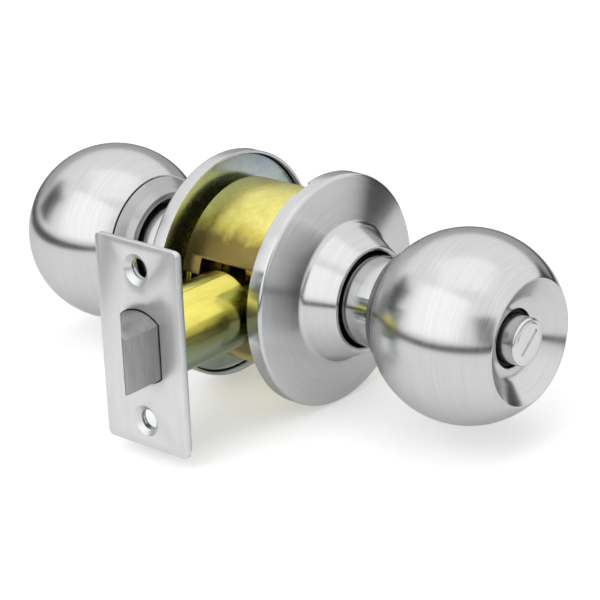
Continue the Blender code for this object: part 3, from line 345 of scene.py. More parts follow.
def calculate(tree, operation, *values):
    """A Math node's result."""
    return add(tree, "ShaderNodeMath", dict(enumerate(values)), operation=operation).outputs[0]


def make_turning_tree():
    """The tree that sweeps an outline round the Y axis."""
    tree, source = new_tree("turned_piece", [("Steps", "NodeSocketInt")])
    count = add(tree, "GeometryNodeAttributeDomainSize", {0: source.outputs["Geometry"]})
    columns = calculate(tree, "ADD", source.outputs["Steps"], 1.0)
    rows = count.outputs["Point Count"]
    grid = add(tree, "GeometryNodeMeshGrid", {"Vertices X": columns, "Vertices Y": rows})
    index = add(tree, "GeometryNodeInputIndex").outputs[0]
    middle = calculate(tree, "ADD", index, 0.5)
    column = calculate(tree, "FLOOR", calculate(tree, "DIVIDE", middle, rows))
    row = calculate(tree, "SUBTRACT", index, calculate(tree, "MULTIPLY", column, rows))
    whole_turn = calculate(tree, "MULTIPLY", column, 2 * math.pi)
    angle = calculate(tree, "DIVIDE", whole_turn, source.outputs["Steps"])
    place = add(tree, "GeometryNodeInputPosition").outputs[0]
    point = add(tree, "GeometryNodeSampleIndex", {"Geometry": source.outputs["Geometry"], "Value": place,
                                                  "Index": row}, data_type="FLOAT_VECTOR")
    parts = add(tree, "ShaderNodeSeparateXYZ", {0: point.outputs[0]})
    x = calculate(tree, "MULTIPLY", parts.outputs[0], calculate(tree, "COSINE", angle))
    z = calculate(tree, "MULTIPLY", parts.outputs[0], calculate(tree, "SINE", angle))
    turned = add(tree, "ShaderNodeCombineXYZ", {0: x, 1: parts.outputs[1], 2: z})
    moved = add(tree, "GeometryNodeSetPosition", {"Geometry": grid.outputs["Mesh"],
                                                  "Position": turned.outputs[0]})
    merged = add(tree, "GeometryNodeMergeByDistance", {"Geometry": moved.outputs[0], "Distance": MERGE})
    return close_tree(tree, source, merged.outputs[0])


def grow(name, base_mesh, tree, **inputs):
    """Runs a tree on a mesh and returns the result as a plain mesh."""
    carrier = bpy.data.objects.new(name + "_base", base_mesh)
    bpy.context.scene.collection.objects.link(carrier)
    modifier = carrier.modifiers.new(tree.name, "NODES")
    modifier.node_group = tree
    sockets = {item.name: item.identifier for item in tree.interface.items_tree if item.in_out == "INPUT"}
    for label, value in inputs.items():
        modifier[sockets[label]] = value
    evaluated = carrier.evaluated_get(bpy.context.evaluated_depsgraph_get())
    mesh = bpy.data.meshes.new_from_object(evaluated)
    mesh.name = name
    bpy.data.objects.remove(carrier)
    return mesh


def finish_mesh(mesh, sharp_angle=30.0):
    """Merges seams and poles, turns the faces outwards and keeps only real edges sharp."""
    shape = bmesh.new()
    shape.from_mesh(mesh)
    bmesh.ops.remove_doubles(shape, verts=shape.verts, dist=MERGE)
    bmesh.ops.dissolve_degenerate(shape, edges=shape.edges, dist=MERGE)
    bmesh.ops.recalc_face_normals(shape, faces=shape.faces)
    shape.to_mesh(mesh)
    shape.free()
    mesh.shade_smooth()
    mesh.set_sharp_from_angle(angle=math.radians(sharp_angle))
    return mesh


def rounded_outline(corners, steps=6):
    """A closed outline from (radius, along, rounding) corners, with each rounding as an arc."""
    outline = []
    count = len(corners)
    for index, (radius, along, rounding) in enumerate(corners):
        here = Vector((radius, along))
        if rounding <= 0.0:
            outline.append(here)
            continue
        before = Vector(corners[index - 1][:2]) - here
        after = Vector(corners[(index + 1) % count][:2]) - here
        half_turn = before.angle(after) / 2
        reach = min(rounding / math.tan(half_turn), 0.499 * before.length, 0.499 * after.length)
        rounding = reach * math.tan(half_turn)
        start = here + before.normalized() * reach
        end = here + after.normalized() * reach
        inward = (before.normalized() + after.normalized()).normalized()
        centre = here + inward * rounding / math.sin(half_turn)
        for step in range(steps + 1):
            towards = (start - centre).normalized().slerp((end - centre).normalized(), step / steps)
            outline.append(centre + towards * rounding)
    return outline


def arc(centre, radius, start, end, steps):
    """Points of an arc in the outline's plane, from start to end in degrees, with no rounding."""
    angles = [math.radians(start + (end - start) * step / steps) for step in range(steps + 1)]
    return [(centre[0] + radius * math.cos(a), centre[1] + radius * math.sin(a), 0.0) for a in angles]


MERGE = 0.0005 * MM
TURNING = make_turning_tree()
TURN_STEPS = 180


def turned_mesh(name, corners, steps=TURN_STEPS, sign=1.0, origin=0.0, about="Y", rounding_steps=6):
    """A turned shape. Corners are (radius, distance along the axis from origin, rounding)."""
    outline = rounded_outline(corners, rounding_steps)
    points = [(max(p.x, 0.0), origin + sign * p.y, 0.0) for p in outline]
    base = bpy.data.meshes.new(name)
    base.from_pydata(points + points[:1], [], [])
    mesh = finish_mesh(grow(name, base, TURNING, Steps=steps))
    if about == "X":
        mesh.transform(Matrix.Rotation(math.radians(-90.0), 4, "Z"))
    return mesh


def show(mesh, material):
    """Puts a finished mesh in the scene with its material."""
    mesh.materials.clear()
    mesh.materials.append(material)
    piece = bpy.data.objects.new(mesh.name, mesh)
    bpy.context.scene.collection.objects.link(piece)
    return piece


def fit(piece, body, slot, *nodes):
    """Hands a piece over: to its body, in place of the plain pieces that it stands for, which it hides. The
    slot is not used.
    """
    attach(piece, body)
    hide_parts(*nodes)
    print(piece.name, len(piece.data.polygons), "faces on", body)
    return piece


print("turning tree has", len(TURNING.nodes), "nodes")

# %% [markdown]
# ## Brushed steel
#
# The knobs, roses and button are finished on a lathe with an abrasive, so fine lines run round the
# axis. The lines do two things: they stretch every highlight across themselves, and they break it
# into faint streaks. The first is the shader's anisotropy, with its tangent pointing along the
# lines. The second is noise that changes quickly across the lines and slowly along them. The lines
# are laid out from the piece's own radius and place along the axis, so they follow any turned shape.


# %% Make the steel finishes
def new_metal(name, colour, roughness, anisotropy=0.0):
    """A bare metal's material, its tree and its shader, ready for a finish."""
    material = bpy.data.materials.new(name)
    material.use_nodes = True
    tree = material.node_tree
    tree.nodes.clear()
    shader = add(tree, "ShaderNodeBsdfPrincipled", {
        "Base Color": (*linear(colour), 1.0),
        "Metallic": 1.0,
        "Roughness": roughness,
        "Anisotropic": anisotropy,
        "Anisotropic Rotation": 0.25,
        "Specular Tint": (0.8, 0.8, 0.8, 1.0),
    })
    add(tree, "ShaderNodeOutputMaterial", {"Surface": shader.outputs[0]})
    return material, tree, shader


def feed(tree, shader, inputs):
    """Links what a finish worked out to its shader."""
    for name, value in inputs.items():
        tree.links.new(value, shader.inputs[name])


def blend_colours(tree, amount, *stops):
    """A colour that changes with the amount. The stops are (amount, hex colour)."""
    ramp = add(tree, "ShaderNodeValToRGB", {0: amount})
    elements = ramp.color_ramp.elements
    while len(elements) < len(stops):
        elements.new(0.5)
    for element, (position, colour) in zip(elements, stops):
        element.position = position
        element.color = (*linear(colour), 1.0)
    return ramp.outputs[0]


def between(tree, amount, low, high):
    """Spreads an amount of noise, which stays near a half, over a range."""
    return add(tree, "ShaderNodeMapRange", {
        "Value": amount, "From Min": 0.3, "From Max": 0.7, "To Min": low, "To Max": high,
    }).outputs[0]


def weigh(tree, first, share, second):
    """Two amounts of noise, mixed: the share of the first and the rest of the second."""
    return calculate(tree, "ADD", calculate(tree, "MULTIPLY", first, share),
                     calculate(tree, "MULTIPLY", second, 1.0 - share))


def lathe_place(tree):
    """A point's radius, its place along Y, its direction from the axis, and the way the lines run."""
    place = add(tree, "ShaderNodeTexCoord").outputs["Object"]
    flat = add(tree, "ShaderNodeVectorMath", {0: place, 1: (1.0, 0.0, 1.0)},
               operation="MULTIPLY").outputs[0]
    radius = add(tree, "ShaderNodeVectorMath", {0: flat}, operation="LENGTH").outputs["Value"]
    outward = add(tree, "ShaderNodeVectorMath", {0: flat}, operation="NORMALIZE").outputs[0]
    along = add(tree, "ShaderNodeSeparateXYZ", {0: place}).outputs["Y"]
    about = add(tree, "ShaderNodeVectorMath", {0: outward, 1: (0.0, 1.0, 0.0)}, operation="CROSS_PRODUCT")
    lines = add(tree, "ShaderNodeVectorTransform", {0: about.outputs[0]}, vector_type="VECTOR",
                convert_from="OBJECT", convert_to="WORLD").outputs[0]
    return radius, along, outward, lines


def turning_lines(tree, lathe, pitch, breaks, detail=2.0):
    """Lines round the axis, pitch millimetres apart. More breaks make shorter lines."""
    radius, along, outward, _ = lathe
    parts = add(tree, "ShaderNodeSeparateXYZ", {0: outward}).outputs
    across = 1.0 / (pitch * MM)
    where = add(tree, "ShaderNodeCombineXYZ", {
        0: calculate(tree, "MULTIPLY", radius, across),
        1: calculate(tree, "MULTIPLY", along, across),
        2: calculate(tree, "MULTIPLY", parts[0], breaks),
    }).outputs[0]
    return add(tree, "ShaderNodeTexNoise", {
        "Vector": where, "W": calculate(tree, "MULTIPLY", parts[2], breaks), "Scale": 1.0, "Detail": detail,
    }, noise_dimensions="4D").outputs[0]


def straight_lines(tree, pitch, length, detail=2.0):
    """Lines along Z, pitch millimetres apart and about length millimetres long."""
    place = add(tree, "ShaderNodeTexCoord").outputs["Object"]
    sizes = (1.0 / (pitch * MM), 1.0 / (pitch * MM), 1.0 / (length * MM))
    where = add(tree, "ShaderNodeVectorMath", {0: place, 1: sizes}, operation="MULTIPLY").outputs[0]
    return add(tree, "ShaderNodeTexNoise", {"Vector": where, "Scale": 1.0, "Detail": detail}).outputs[0]


def make_turned_steel(name, colours, roughness, anisotropy, bump):
    """Steel finished on a lathe: fine lines for the satin look, broader bands for the tool's passes."""
    material, tree, shader = new_metal(name, colours[0], roughness[0], anisotropy)
    lathe = lathe_place(tree)
    fine = turning_lines(tree, lathe, 0.16, 2.0)
    bands = turning_lines(tree, lathe, 1.3, 0.7, 1.0)
    both = weigh(tree, fine, 0.75, bands)
    relief = add(tree, "ShaderNodeBump", {"Strength": bump, "Distance": 0.02 * MM, "Height": fine})
    feed(tree, shader, {
        "Base Color": blend_colours(tree, both, (0.35, colours[0]), (0.65, colours[1])),
        "Roughness": between(tree, both, *roughness),
        "Normal": relief.outputs[0],
        "Tangent": lathe[3],
    })
    return material


def make_ground_steel(name, colours, roughness, anisotropy):
    """Steel ground in straight strokes along Z."""
    material, tree, shader = new_metal(name, colours[0], roughness[0], anisotropy)
    fine = straight_lines(tree, 0.14, 14.0)
    smears = straight_lines(tree, 3.0, 16.0, 1.0)
    both = weigh(tree, fine, 0.6, smears)
    relief = add(tree, "ShaderNodeBump", {"Strength": 0.06, "Distance": 0.02 * MM, "Height": fine})
    run = add(tree, "ShaderNodeVectorTransform", {0: (0.0, 0.0, 1.0)}, vector_type="VECTOR",
              convert_from="OBJECT", convert_to="WORLD")
    feed(tree, shader, {
        "Base Color": blend_colours(tree, both, (0.35, colours[0]), (0.65, colours[1])),
        "Roughness": between(tree, both, *roughness),
        "Normal": relief.outputs[0],
        "Tangent": run.outputs[0],
    })
    return material


# Satin: the knobs and roses. Polished: the shanks, which mirror more. Drawn: the flares, which stay
# a little duller, and darker as painted shade behind the balls. Ground: the plates and the bolt, with
# straight lines along the latch.
SATIN_STEEL = make_turned_steel("satin_turned_steel", ("#C4C4C5", "#CECECF"), (0.19, 0.25), 0.75, 0.05)
NECK_STEEL = make_turned_steel("polished_neck_steel", ("#C8C8C9", "#D2D2D3"), (0.10, 0.15), 0.6, 0.03)
SHADED_FLARE_STEEL = make_turned_steel("drawn_flare_steel_painted_shade", ("#A4A4A5", "#B0B0B1"), (0.24, 0.32), 0.6, 0.04)
BUTTON_STEEL = make_turned_steel("turned_button_steel", ("#D2D2D3", "#DEDEDF"), (0.20, 0.28), 0.6, 0.05)
PLATE_STEEL = make_ground_steel("ground_plate_steel", ("#D6D6D7", "#DFDFE0"), (0.36, 0.46), 0.5)
BOLT_STEEL = make_ground_steel("ground_bolt_steel", ("#909091", "#A2A2A3"), (0.24, 0.32), 0.6)
print("six steels, from satin to polished")

# %% [markdown]
# ## Plated steel, spring steel and brass
#
# The drum and the latch tube are pressed steel with a yellow chromate film over zinc. The film is
# thinner than a wavelength of light in places, so one part comes out gold, the next olive green,
# bluish green or pinkish brown, in soft clouds a few millimetres across. Two sizes of noise drive
# one colour ramp for the clouds, and a third breaks up the gloss as the zinc's crystals do. On the
# drum and the tube, height moves the ramp as well: that is painted light, paler as painted highlight
# and darker as painted shade. The flat parts behind the roses have the clear kind of plating, which
# is bluish grey.


# %% Make the plated finishes, the spring steel and the brass
def clouds(tree, size, detail=3.0, distortion=0.0, streaks=1.0):
    """Soft clouds about size millimetres across, drawn out along X by more streaks."""
    place = add(tree, "ShaderNodeTexCoord").outputs["Object"]
    place = add(tree, "ShaderNodeVectorMath", {0: place, 1: (1.0 / streaks, 1.0, 1.0)},
                operation="MULTIPLY").outputs[0]
    return add(tree, "ShaderNodeTexNoise", {
        "Vector": place, "Scale": 1.0 / (size * MM), "Detail": detail, "Distortion": distortion,
    }).outputs[0]


def make_plated_steel(name, stops, cloud_size, roughness, bump, painted_light_rise=None, streaks=1.0):
    """Zinc-plated steel: the film's clouds of colour over the zinc's fine crystals.

    A rise of (low, high, share) paints light by height: the colour moves up the ramp from low to high,
    in millimetres of height, as painted shade below and painted highlight above; a low above zero
    counts both up and down from the middle.
    More streaks draw the clouds out along X.
    """
    material, tree, shader = new_metal(name, stops[0][1], roughness[0])
    large = clouds(tree, cloud_size, 3.0, 0.6, streaks)
    small = clouds(tree, cloud_size / 6, 3.0, 0.0, streaks)
    crystals = clouds(tree, 0.5, 2.0)
    film = weigh(tree, large, 0.75, small)
    if painted_light_rise:
        low, high, share = painted_light_rise
        place = add(tree, "ShaderNodeTexCoord").outputs["Object"]
        height = add(tree, "ShaderNodeSeparateXYZ", {0: place}).outputs["Z"]
        if low > 0.0:
            height = calculate(tree, "ABSOLUTE", height)
        # Painted light: height pushes the colour towards the ramp's pale end as painted highlight and
        # towards its dark end as painted shade.
        level = add(tree, "ShaderNodeMapRange", {
            "Value": height, "From Min": low * MM, "From Max": high * MM, "To Min": 0.25, "To Max": 0.75,
        }, interpolation_type="SMOOTHSTEP").outputs[0]
        film = weigh(tree, level, share, film)
    relief = add(tree, "ShaderNodeBump", {"Strength": bump, "Distance": 0.03 * MM, "Height": crystals})
    feed(tree, shader, {
        "Base Color": blend_colours(tree, film, *stops),
        "Roughness": between(tree, weigh(tree, crystals, 0.5, small), *roughness),
        "Normal": relief.outputs[0],
    })
    return material


YELLOW_FILM = (
    (0.28, "#9DB08A"), (0.36, "#A9A552"), (0.46, "#C9B849"), (0.54, "#DFD05C"),
    (0.62, "#CDB857"), (0.72, "#A88F55"),
)
# The next two ramps hold the film's colours and painted light: their dark ends are painted shade and their
# pale ends painted highlight, reached by height.
DRUM_FILM_AND_PAINTED_LIGHT = (
    (0.28, "#7A6B3A"), (0.40, "#7C6D3D"), (0.50, "#80713E"), (0.60, "#C6BA5C"), (0.72, "#F0E892"),
)
TUBE_FILM_AND_PAINTED_LIGHT = (
    (0.28, "#8A9682"), (0.38, "#868C5C"), (0.48, "#8A8440"), (0.58, "#CFC458"), (0.70, "#EEE374"),
)
CLEAR_FILM = ((0.34, "#8FA39D"), (0.50, "#B5C0BC"), (0.66, "#A9B4C0"))
# The near black greys are painted shade, for the button guide, whose own plating is clear zinc.
PAINTED_SHADE_GREYS = ((0.35, "#1E1E1E"), (0.65, "#2E2E2E"))
OILED = ((0.35, "#55524E"), (0.65, "#8B8985"))
# The drum's film clouds carry painted light by height: paler towards the top and the bottom as painted
# highlight, darker olive brown about the middle as painted shade. The tube's clouds are streaked along
# the tube, and it is painted paler above as painted highlight and darker and greener below as painted shade.
YELLOW_ZINC = make_plated_steel("yellow_chromate_zinc", YELLOW_FILM, 20.0, (0.18, 0.28), 0.10)
DRUM_ZINC_PAINTED_LIGHT = make_plated_steel("yellow_chromate_drum_painted_light", DRUM_FILM_AND_PAINTED_LIGHT, 9.0, (0.26, 0.42), 0.22,
                              (7.0, 24.0, 0.72))
TUBE_ZINC_PAINTED_LIGHT = make_plated_steel("yellow_chromate_tube_painted_light", TUBE_FILM_AND_PAINTED_LIGHT, 6.0, (0.12, 0.24), 0.06,
                              (-3.0, 9.0, 0.66), 5.0)
# Painted shade: the button guide is made near black, as the inside of the drum is dark; its own plating is
# clear zinc.
GUIDE_IN_PAINTED_SHADE = make_plated_steel("guide_in_painted_shade", PAINTED_SHADE_GREYS, 1.5, (0.42, 0.55), 0.1)
CLEAR_ZINC = make_plated_steel("clear_chromate_zinc", CLEAR_FILM, 16.0, (0.20, 0.30), 0.08)
SPRING_STEEL = make_plated_steel("oiled_spring_steel", OILED, 1.5, (0.22, 0.34), 0.1)
BRASS = make_turned_steel("turned_brass", ("#C39A45", "#DDB766"), (0.20, 0.30), 0.4, 0.14)
print("four platings, guide steel, spring steel and brass")

# %% [markdown]
# ## Roses
#
# A rose is the round cover that closes on the door. It is spun from sheet 0.8 mm thick: a straight
# rim, a nearly flat cone, a hollow bend, and a raised hub whose mouth is rolled in round the knob's
# shank. Its outline is drawn as corners with bending radii, as the spinner's tool would bend it.
# The inside rose has a small notch in its rim for the tool that prises it off.


# %% Turn the roses and cut the pry notch
def cut(mesh, *cutters):
    """Takes the cutters away from a mesh and returns the result as a plain mesh."""
    body = bpy.data.objects.new(mesh.name, mesh)
    bpy.context.scene.collection.objects.link(body)
    helpers = []
    for cutter in cutters:
        helper = bpy.data.objects.new(mesh.name + "_cutter", cutter)
        bpy.context.scene.collection.objects.link(helper)
        helpers.append(helper)
        modifier = body.modifiers.new("cut", "BOOLEAN")
        modifier.operation = "DIFFERENCE"
        modifier.solver = "EXACT"
        modifier.object = helper
    result = bpy.data.meshes.new_from_object(body.evaluated_get(bpy.context.evaluated_depsgraph_get()))
    result.name = mesh.name
    for item in (body, *helpers):
        bpy.data.objects.remove(item)
    return finish_mesh(result)


def soften(mesh, width, segments=2, angle=40.0):
    """Rounds every edge sharper than the angle, as a deburred edge is."""
    body = bpy.data.objects.new(mesh.name, mesh)
    bpy.context.scene.collection.objects.link(body)
    modifier = body.modifiers.new("soften", "BEVEL")
    modifier.width = width
    modifier.segments = segments
    modifier.limit_method = "ANGLE"
    modifier.angle_limit = math.radians(angle)
    modifier.use_clamp_overlap = True
    result = bpy.data.meshes.new_from_object(body.evaluated_get(bpy.context.evaluated_depsgraph_get()))
    result.name = mesh.name
    bpy.data.objects.remove(body)
    return finish_mesh(result)


def prism(name, outline, axis, start, end):
    """A bar along X or Y. Its outline is (y, z) points for X and (x, z) points for Y."""
    shape = bmesh.new()
    if axis == "X":
        points = [shape.verts.new((start, a, b)) for a, b in outline]
        travel = Vector((end - start, 0.0, 0.0))
    else:
        points = [shape.verts.new((a, start, b)) for a, b in outline]
        travel = Vector((0.0, end - start, 0.0))
    grown = bmesh.ops.extrude_face_region(shape, geom=[shape.faces.new(points)])
    moved = [item for item in grown["geom"] if isinstance(item, bmesh.types.BMVert)]
    bmesh.ops.translate(shape, verts=moved, vec=travel)
    mesh = bpy.data.meshes.new(name)
    shape.to_mesh(mesh)
    shape.free()
    return finish_mesh(mesh)


def block(half_a, half_b):
    """A rectangle round the middle, as an outline for a bar."""
    return [(-half_a, -half_b), (half_a, -half_b), (half_a, half_b), (-half_a, half_b)]


SIDES = {"inside": (-1.0, INSIDE_DOOR), "outside": (1.0, OUTSIDE_DOOR)}
ROSE_WALL = 0.8 * MM
ROSE_RIM = 4.5 * MM
ROSE_FACE = 7.4 * MM  # where the cone ends, from the door
ROSE_LIP = 16.3 * MM
ROSE_HUB_R = 19.2 * MM
ROSE_MOUTH_R = SHANK_R + 0.8 * MM


def rose_corners():
    """The rose's outline, with distances counted from the door."""
    return [
        (ROSE_R, 0.0, 0.15 * MM),
        (ROSE_R, ROSE_RIM, 1.1 * MM),
        (ROSE_HUB_R, ROSE_FACE, 2.4 * MM),
        (ROSE_MOUTH_R + 1.2 * MM, ROSE_LIP, 1.2 * MM),
        (ROSE_MOUTH_R, ROSE_LIP - 0.7 * MM, 0.5 * MM),
        (ROSE_MOUTH_R, ROSE_LIP - 1.7 * MM, 0.0),
        (ROSE_HUB_R - 1.3 * MM, ROSE_FACE - 0.8 * MM, 1.6 * MM),
        (ROSE_R - ROSE_WALL, ROSE_RIM - ROSE_WALL, 0.4 * MM),
        (ROSE_R - ROSE_WALL, 0.0, 0.15 * MM),
    ]


PRY_NOTCH_ANGLE = math.radians(74.0)
NOTCH_HALF = 3.0 * MM
NOTCH_DEPTH = 1.1 * MM
for side, (sign, door) in SIDES.items():
    rose = turned_mesh(side + "_rose_cover", rose_corners(), 240, sign, door, rounding_steps=8)
    if side == "inside":
        low, high = ROSE_R - 2.5 * MM, ROSE_R + PAST
        outline = [(-NOTCH_HALF, low), (NOTCH_HALF, low), (NOTCH_HALF, high), (-NOTCH_HALF, high)]
        notch = prism("pry_notch", outline, "Y", door - NOTCH_DEPTH, door + PAST)
        notch.transform(Matrix.Rotation(PRY_NOTCH_ANGLE - math.pi / 2, 4, "Y"))
        rose = cut(rose, notch)
    fit(show(rose, SATIN_STEEL), "chassis", "satin_stainless", side + "_rose")

# %% [markdown]
# ## Knobs
#
# Each knob is a drawn ball with its front pushed in to make a dish, closed at the back by a turned
# collar that flares down to the shank. The ball and the collar meet at a fine seam. The ball's
# outline is a true arc, so that reflections run over it without a kink, and the dish is a shallow
# cone with a soft bend at its foot.

# %% Turn the balls, the collars and the shanks
KNOB_CENTRE = 48.5 * MM  # from the door
KNOB_WALL = 1.0 * MM
DISH_RIM_R = 17.0 * MM
DISH_RIM_W = math.sqrt(KNOB_R**2 - DISH_RIM_R**2)
DISH_FLOOR_W = DISH_RIM_W - 5.2 * MM
KNOB_BORE_R = 7.9 * MM
SEAM_R = 19.8 * MM
SEAM_W = -math.sqrt(KNOB_R**2 - SEAM_R**2)
SEAM_GAP = 0.3 * MM
LIP_R = SHANK_R + 3.2 * MM
LIP_W = SEAM_W - 5.0 * MM


def ball_corners():
    """The ball's outline, with distances counted from its centre towards the dish."""
    inner_r = KNOB_R - KNOB_WALL
    rim_angle = math.degrees(math.atan2(DISH_RIM_W, DISH_RIM_R))
    seam_angle = math.degrees(math.atan2(SEAM_W, SEAM_R))
    inner_end = math.degrees(math.asin((DISH_RIM_W - 1.6 * MM) / inner_r))
    inner_start = math.degrees(math.asin(SEAM_W / inner_r))
    dish = [
        (DISH_RIM_R - 0.1 * MM, DISH_RIM_W + 0.02 * MM, 0.7 * MM),
        (KNOB_BORE_R + 2.6 * MM, DISH_FLOOR_W + 0.35 * MM, 5.0 * MM),
        (KNOB_BORE_R, DISH_FLOOR_W, 0.35 * MM),
        (KNOB_BORE_R, DISH_FLOOR_W - 2.6 * MM, 0.0),
        (KNOB_BORE_R + KNOB_WALL, DISH_FLOOR_W - 2.6 * MM, 0.0),
        (KNOB_BORE_R + KNOB_WALL, DISH_FLOOR_W - 1.0 * MM, 0.0),
        (KNOB_BORE_R + 3.2 * MM, DISH_FLOOR_W - 0.5 * MM, 2.0 * MM),
    ]
    outer = arc((0.0, 0.0), KNOB_R, seam_angle, rim_angle - 1.2, 72)
    inner = arc((0.0, 0.0), inner_r, inner_end, inner_start, 24)
    return outer + dish + inner


def collar_corners():
    """The collar behind the ball, from its spigot to its rolled lip."""
    spigot_r = math.sqrt((KNOB_R - KNOB_WALL) ** 2 - SEAM_W**2) - SEAM_GAP
    back_w = SEAM_W - SEAM_GAP
    mouth_r = SHANK_R + 1.3 * MM
    return [
        (SHANK_R + SEAM_GAP, SEAM_W + 2.4 * MM, 0.0),
        (spigot_r, SEAM_W + 2.4 * MM, 0.0),
        (spigot_r, back_w, 0.0),
        (SEAM_R - 0.25 * MM, back_w, 0.1 * MM),
        (LIP_R + 1.3 * MM, back_w - 2.6 * MM, 5.0 * MM),
        (LIP_R, LIP_W, 0.6 * MM),
        (mouth_r, LIP_W, 0.5 * MM),
        (mouth_r, back_w, 0.0),
        (SHANK_R + SEAM_GAP, back_w, 0.0),
    ]


CATCH_HOLE_R = 1.5 * MM
CATCH_FROM_DOOR = 25.5 * MM
CATCH_TURN = {"inside": math.radians(6.0), "outside": math.radians(180.0)}
SHANK_WALL = 0.9 * MM
SHANK_START = 9.0 * MM  # from the door
shank_end = KNOB_CENTRE + SEAM_W + 3.4 * MM
for side, (sign, door) in SIDES.items():
    centre = door + sign * KNOB_CENTRE
    body = side + "_knob"
    ball = turned_mesh(side + "_knob_ball", ball_corners(), 240, sign, centre, rounding_steps=8)
    fit(show(ball, SATIN_STEEL), body, "satin_stainless", side + "_knob_shell")
    collar = turned_mesh(side + "_knob_flare", collar_corners(), 200, sign, centre, rounding_steps=8)
    # The flare is a darker copy of the satin steel: painted shade behind the ball.
    fit(show(collar, SHADED_FLARE_STEEL), body, "satin_stainless", side + "_knob_collar")
    shank = turned_mesh(side + "_shank_tube", [
        (SHANK_R, SHANK_START, 0.2 * MM), (SHANK_R, shank_end, 0.0),
        (SHANK_R - SHANK_WALL, shank_end, 0.0), (SHANK_R - SHANK_WALL, SHANK_START, 0.2 * MM)],
        180, sign, door)
    hole = turned_mesh("catch_hole", [
        (0.0, -SHANK_R - PAST, 0.0), (CATCH_HOLE_R, -SHANK_R - PAST, 0.0),
        (CATCH_HOLE_R, -SHANK_R + PAST, 0.0), (0.0, -SHANK_R + PAST, 0.0)], 48, about="X")
    hole.transform(Matrix.Translation((0.0, door + sign * CATCH_FROM_DOOR, 0.0))
                   @ Matrix.Rotation(CATCH_TURN[side], 4, "Y"))
    fit(show(cut(shank, hole), NECK_STEEL), body, "polished_stainless", side + "_knob_shank")

# %% [markdown]
# ## Button and key cylinder
#
# The inside knob has a push button that locks the set. Its face is slightly rounded at the edge and
# has a slot, so that it can be turned with a coin. The outside knob has a brass key cylinder behind
# the dish, with a keyway in its plug. Slots are cut with a Boolean from the turned shapes, because a
# straight cutter through a round part is how they are milled.

# %% Turn the button and the key cylinder
INSIDE_CENTRE = INSIDE_DOOR - KNOB_CENTRE
OUTSIDE_CENTRE = OUTSIDE_DOOR + KNOB_CENTRE
BUTTON_R = 6.5 * MM
BUTTON_FRONT_W = DISH_FLOOR_W + 4.7 * MM
BUTTON_REAR_W = BUTTON_FRONT_W - 12.7 * MM
SLOT_HALF_LENGTH = 4.2 * MM
SLOT_HALF_WIDTH = 0.55 * MM
SLOT_DEPTH = 0.45 * MM
BUTTON_SLOT_ANGLE = math.radians(38.0)
button_corners = [
    (0.0, BUTTON_FRONT_W, 0.0),
    (BUTTON_R - 1.5 * MM, BUTTON_FRONT_W, 1.5 * MM),
    (BUTTON_R - 1.2 * MM, BUTTON_FRONT_W - 0.15 * MM, 0.2 * MM),
    (BUTTON_R, BUTTON_FRONT_W - 0.35 * MM, 0.7 * MM),
    (BUTTON_R, BUTTON_REAR_W, 0.2 * MM),
    (0.0, BUTTON_REAR_W, 0.0),
]
button = turned_mesh("button_with_slot", button_corners, 120, -1.0, INSIDE_CENTRE)
button_face = INSIDE_CENTRE - BUTTON_FRONT_W
slot = prism("button_slot", block(SLOT_HALF_LENGTH, SLOT_HALF_WIDTH), "Y",
             button_face - PAST, button_face + SLOT_DEPTH)
slot.transform(Matrix.Rotation(-BUTTON_SLOT_ANGLE, 4, "Y"))
fit(show(cut(button, slot), BUTTON_STEEL), "button", "satin_stainless", "push_button")

PLUG_R = 5.6 * MM
PLUG_HEAD_R = 6.5 * MM
cylinder_front = DISH_FLOOR_W - 1.1 * MM
cylinder_rear = cylinder_front - 19.4 * MM
cylinder_r = KNOB_BORE_R - FIT
head_seat = cylinder_front - 1.6 * MM
cylinder_corners = [
    (PLUG_R + FIT, cylinder_rear, 0.0),
    (cylinder_r, cylinder_rear, 0.2 * MM),
    (cylinder_r, cylinder_front, 0.25 * MM),
    (PLUG_HEAD_R + FIT, cylinder_front, 0.15 * MM),
    (PLUG_HEAD_R + FIT, head_seat, 0.0),
    (PLUG_R + FIT, head_seat, 0.0),
]
cylinder = turned_mesh("key_cylinder_sleeve", cylinder_corners, 120, 1.0, OUTSIDE_CENTRE)
fit(show(cylinder, BRASS), "outside_knob", "brass", "key_cylinder")
plug_face = cylinder_front + 0.4 * MM
plug_rear = cylinder_rear - 0.3 * MM
head_rear = head_seat + FIT
plug_corners = [
    (0.0, plug_rear, 0.0),
    (PLUG_R, plug_rear, 0.2 * MM),
    (PLUG_R, head_rear, 0.0),
    (PLUG_HEAD_R, head_rear, 0.0),
    (PLUG_HEAD_R, plug_face, 0.3 * MM),
    (0.0, plug_face, 0.0),
]
plug = turned_mesh("key_plug_head", plug_corners, 120, 1.0, OUTSIDE_CENTRE)
face_y = OUTSIDE_CENTRE + plug_face
keyway = prism("keyway", [(-0.8 * MM, -4.2 * MM), (0.8 * MM, -4.2 * MM), (0.8 * MM, -1.2 * MM),
                          (0.35 * MM, -0.6 * MM), (0.35 * MM, 0.6 * MM), (0.8 * MM, 1.2 * MM),
                          (0.8 * MM, 4.2 * MM), (-0.35 * MM, 4.2 * MM), (-0.35 * MM, 2.2 * MM),
                          (-0.8 * MM, 1.6 * MM)],
               "Y", face_y - 11.0 * MM, face_y + PAST)
fit(show(cut(plug, keyway), BRASS), "key_plug", "brass", "key_plug")

# %% [markdown]
# ## Drum
#
# The drum that sits in the door's bore is pressed from steel and plated yellow. It is open towards
# the latch, so that the latch's tail can hook the slide inside, and slotted at its outside end. A
# turned wall, cut through by two bars and then softened along its sharp edges, gives a sheet whose
# edges catch the light as sheared and plated edges do.

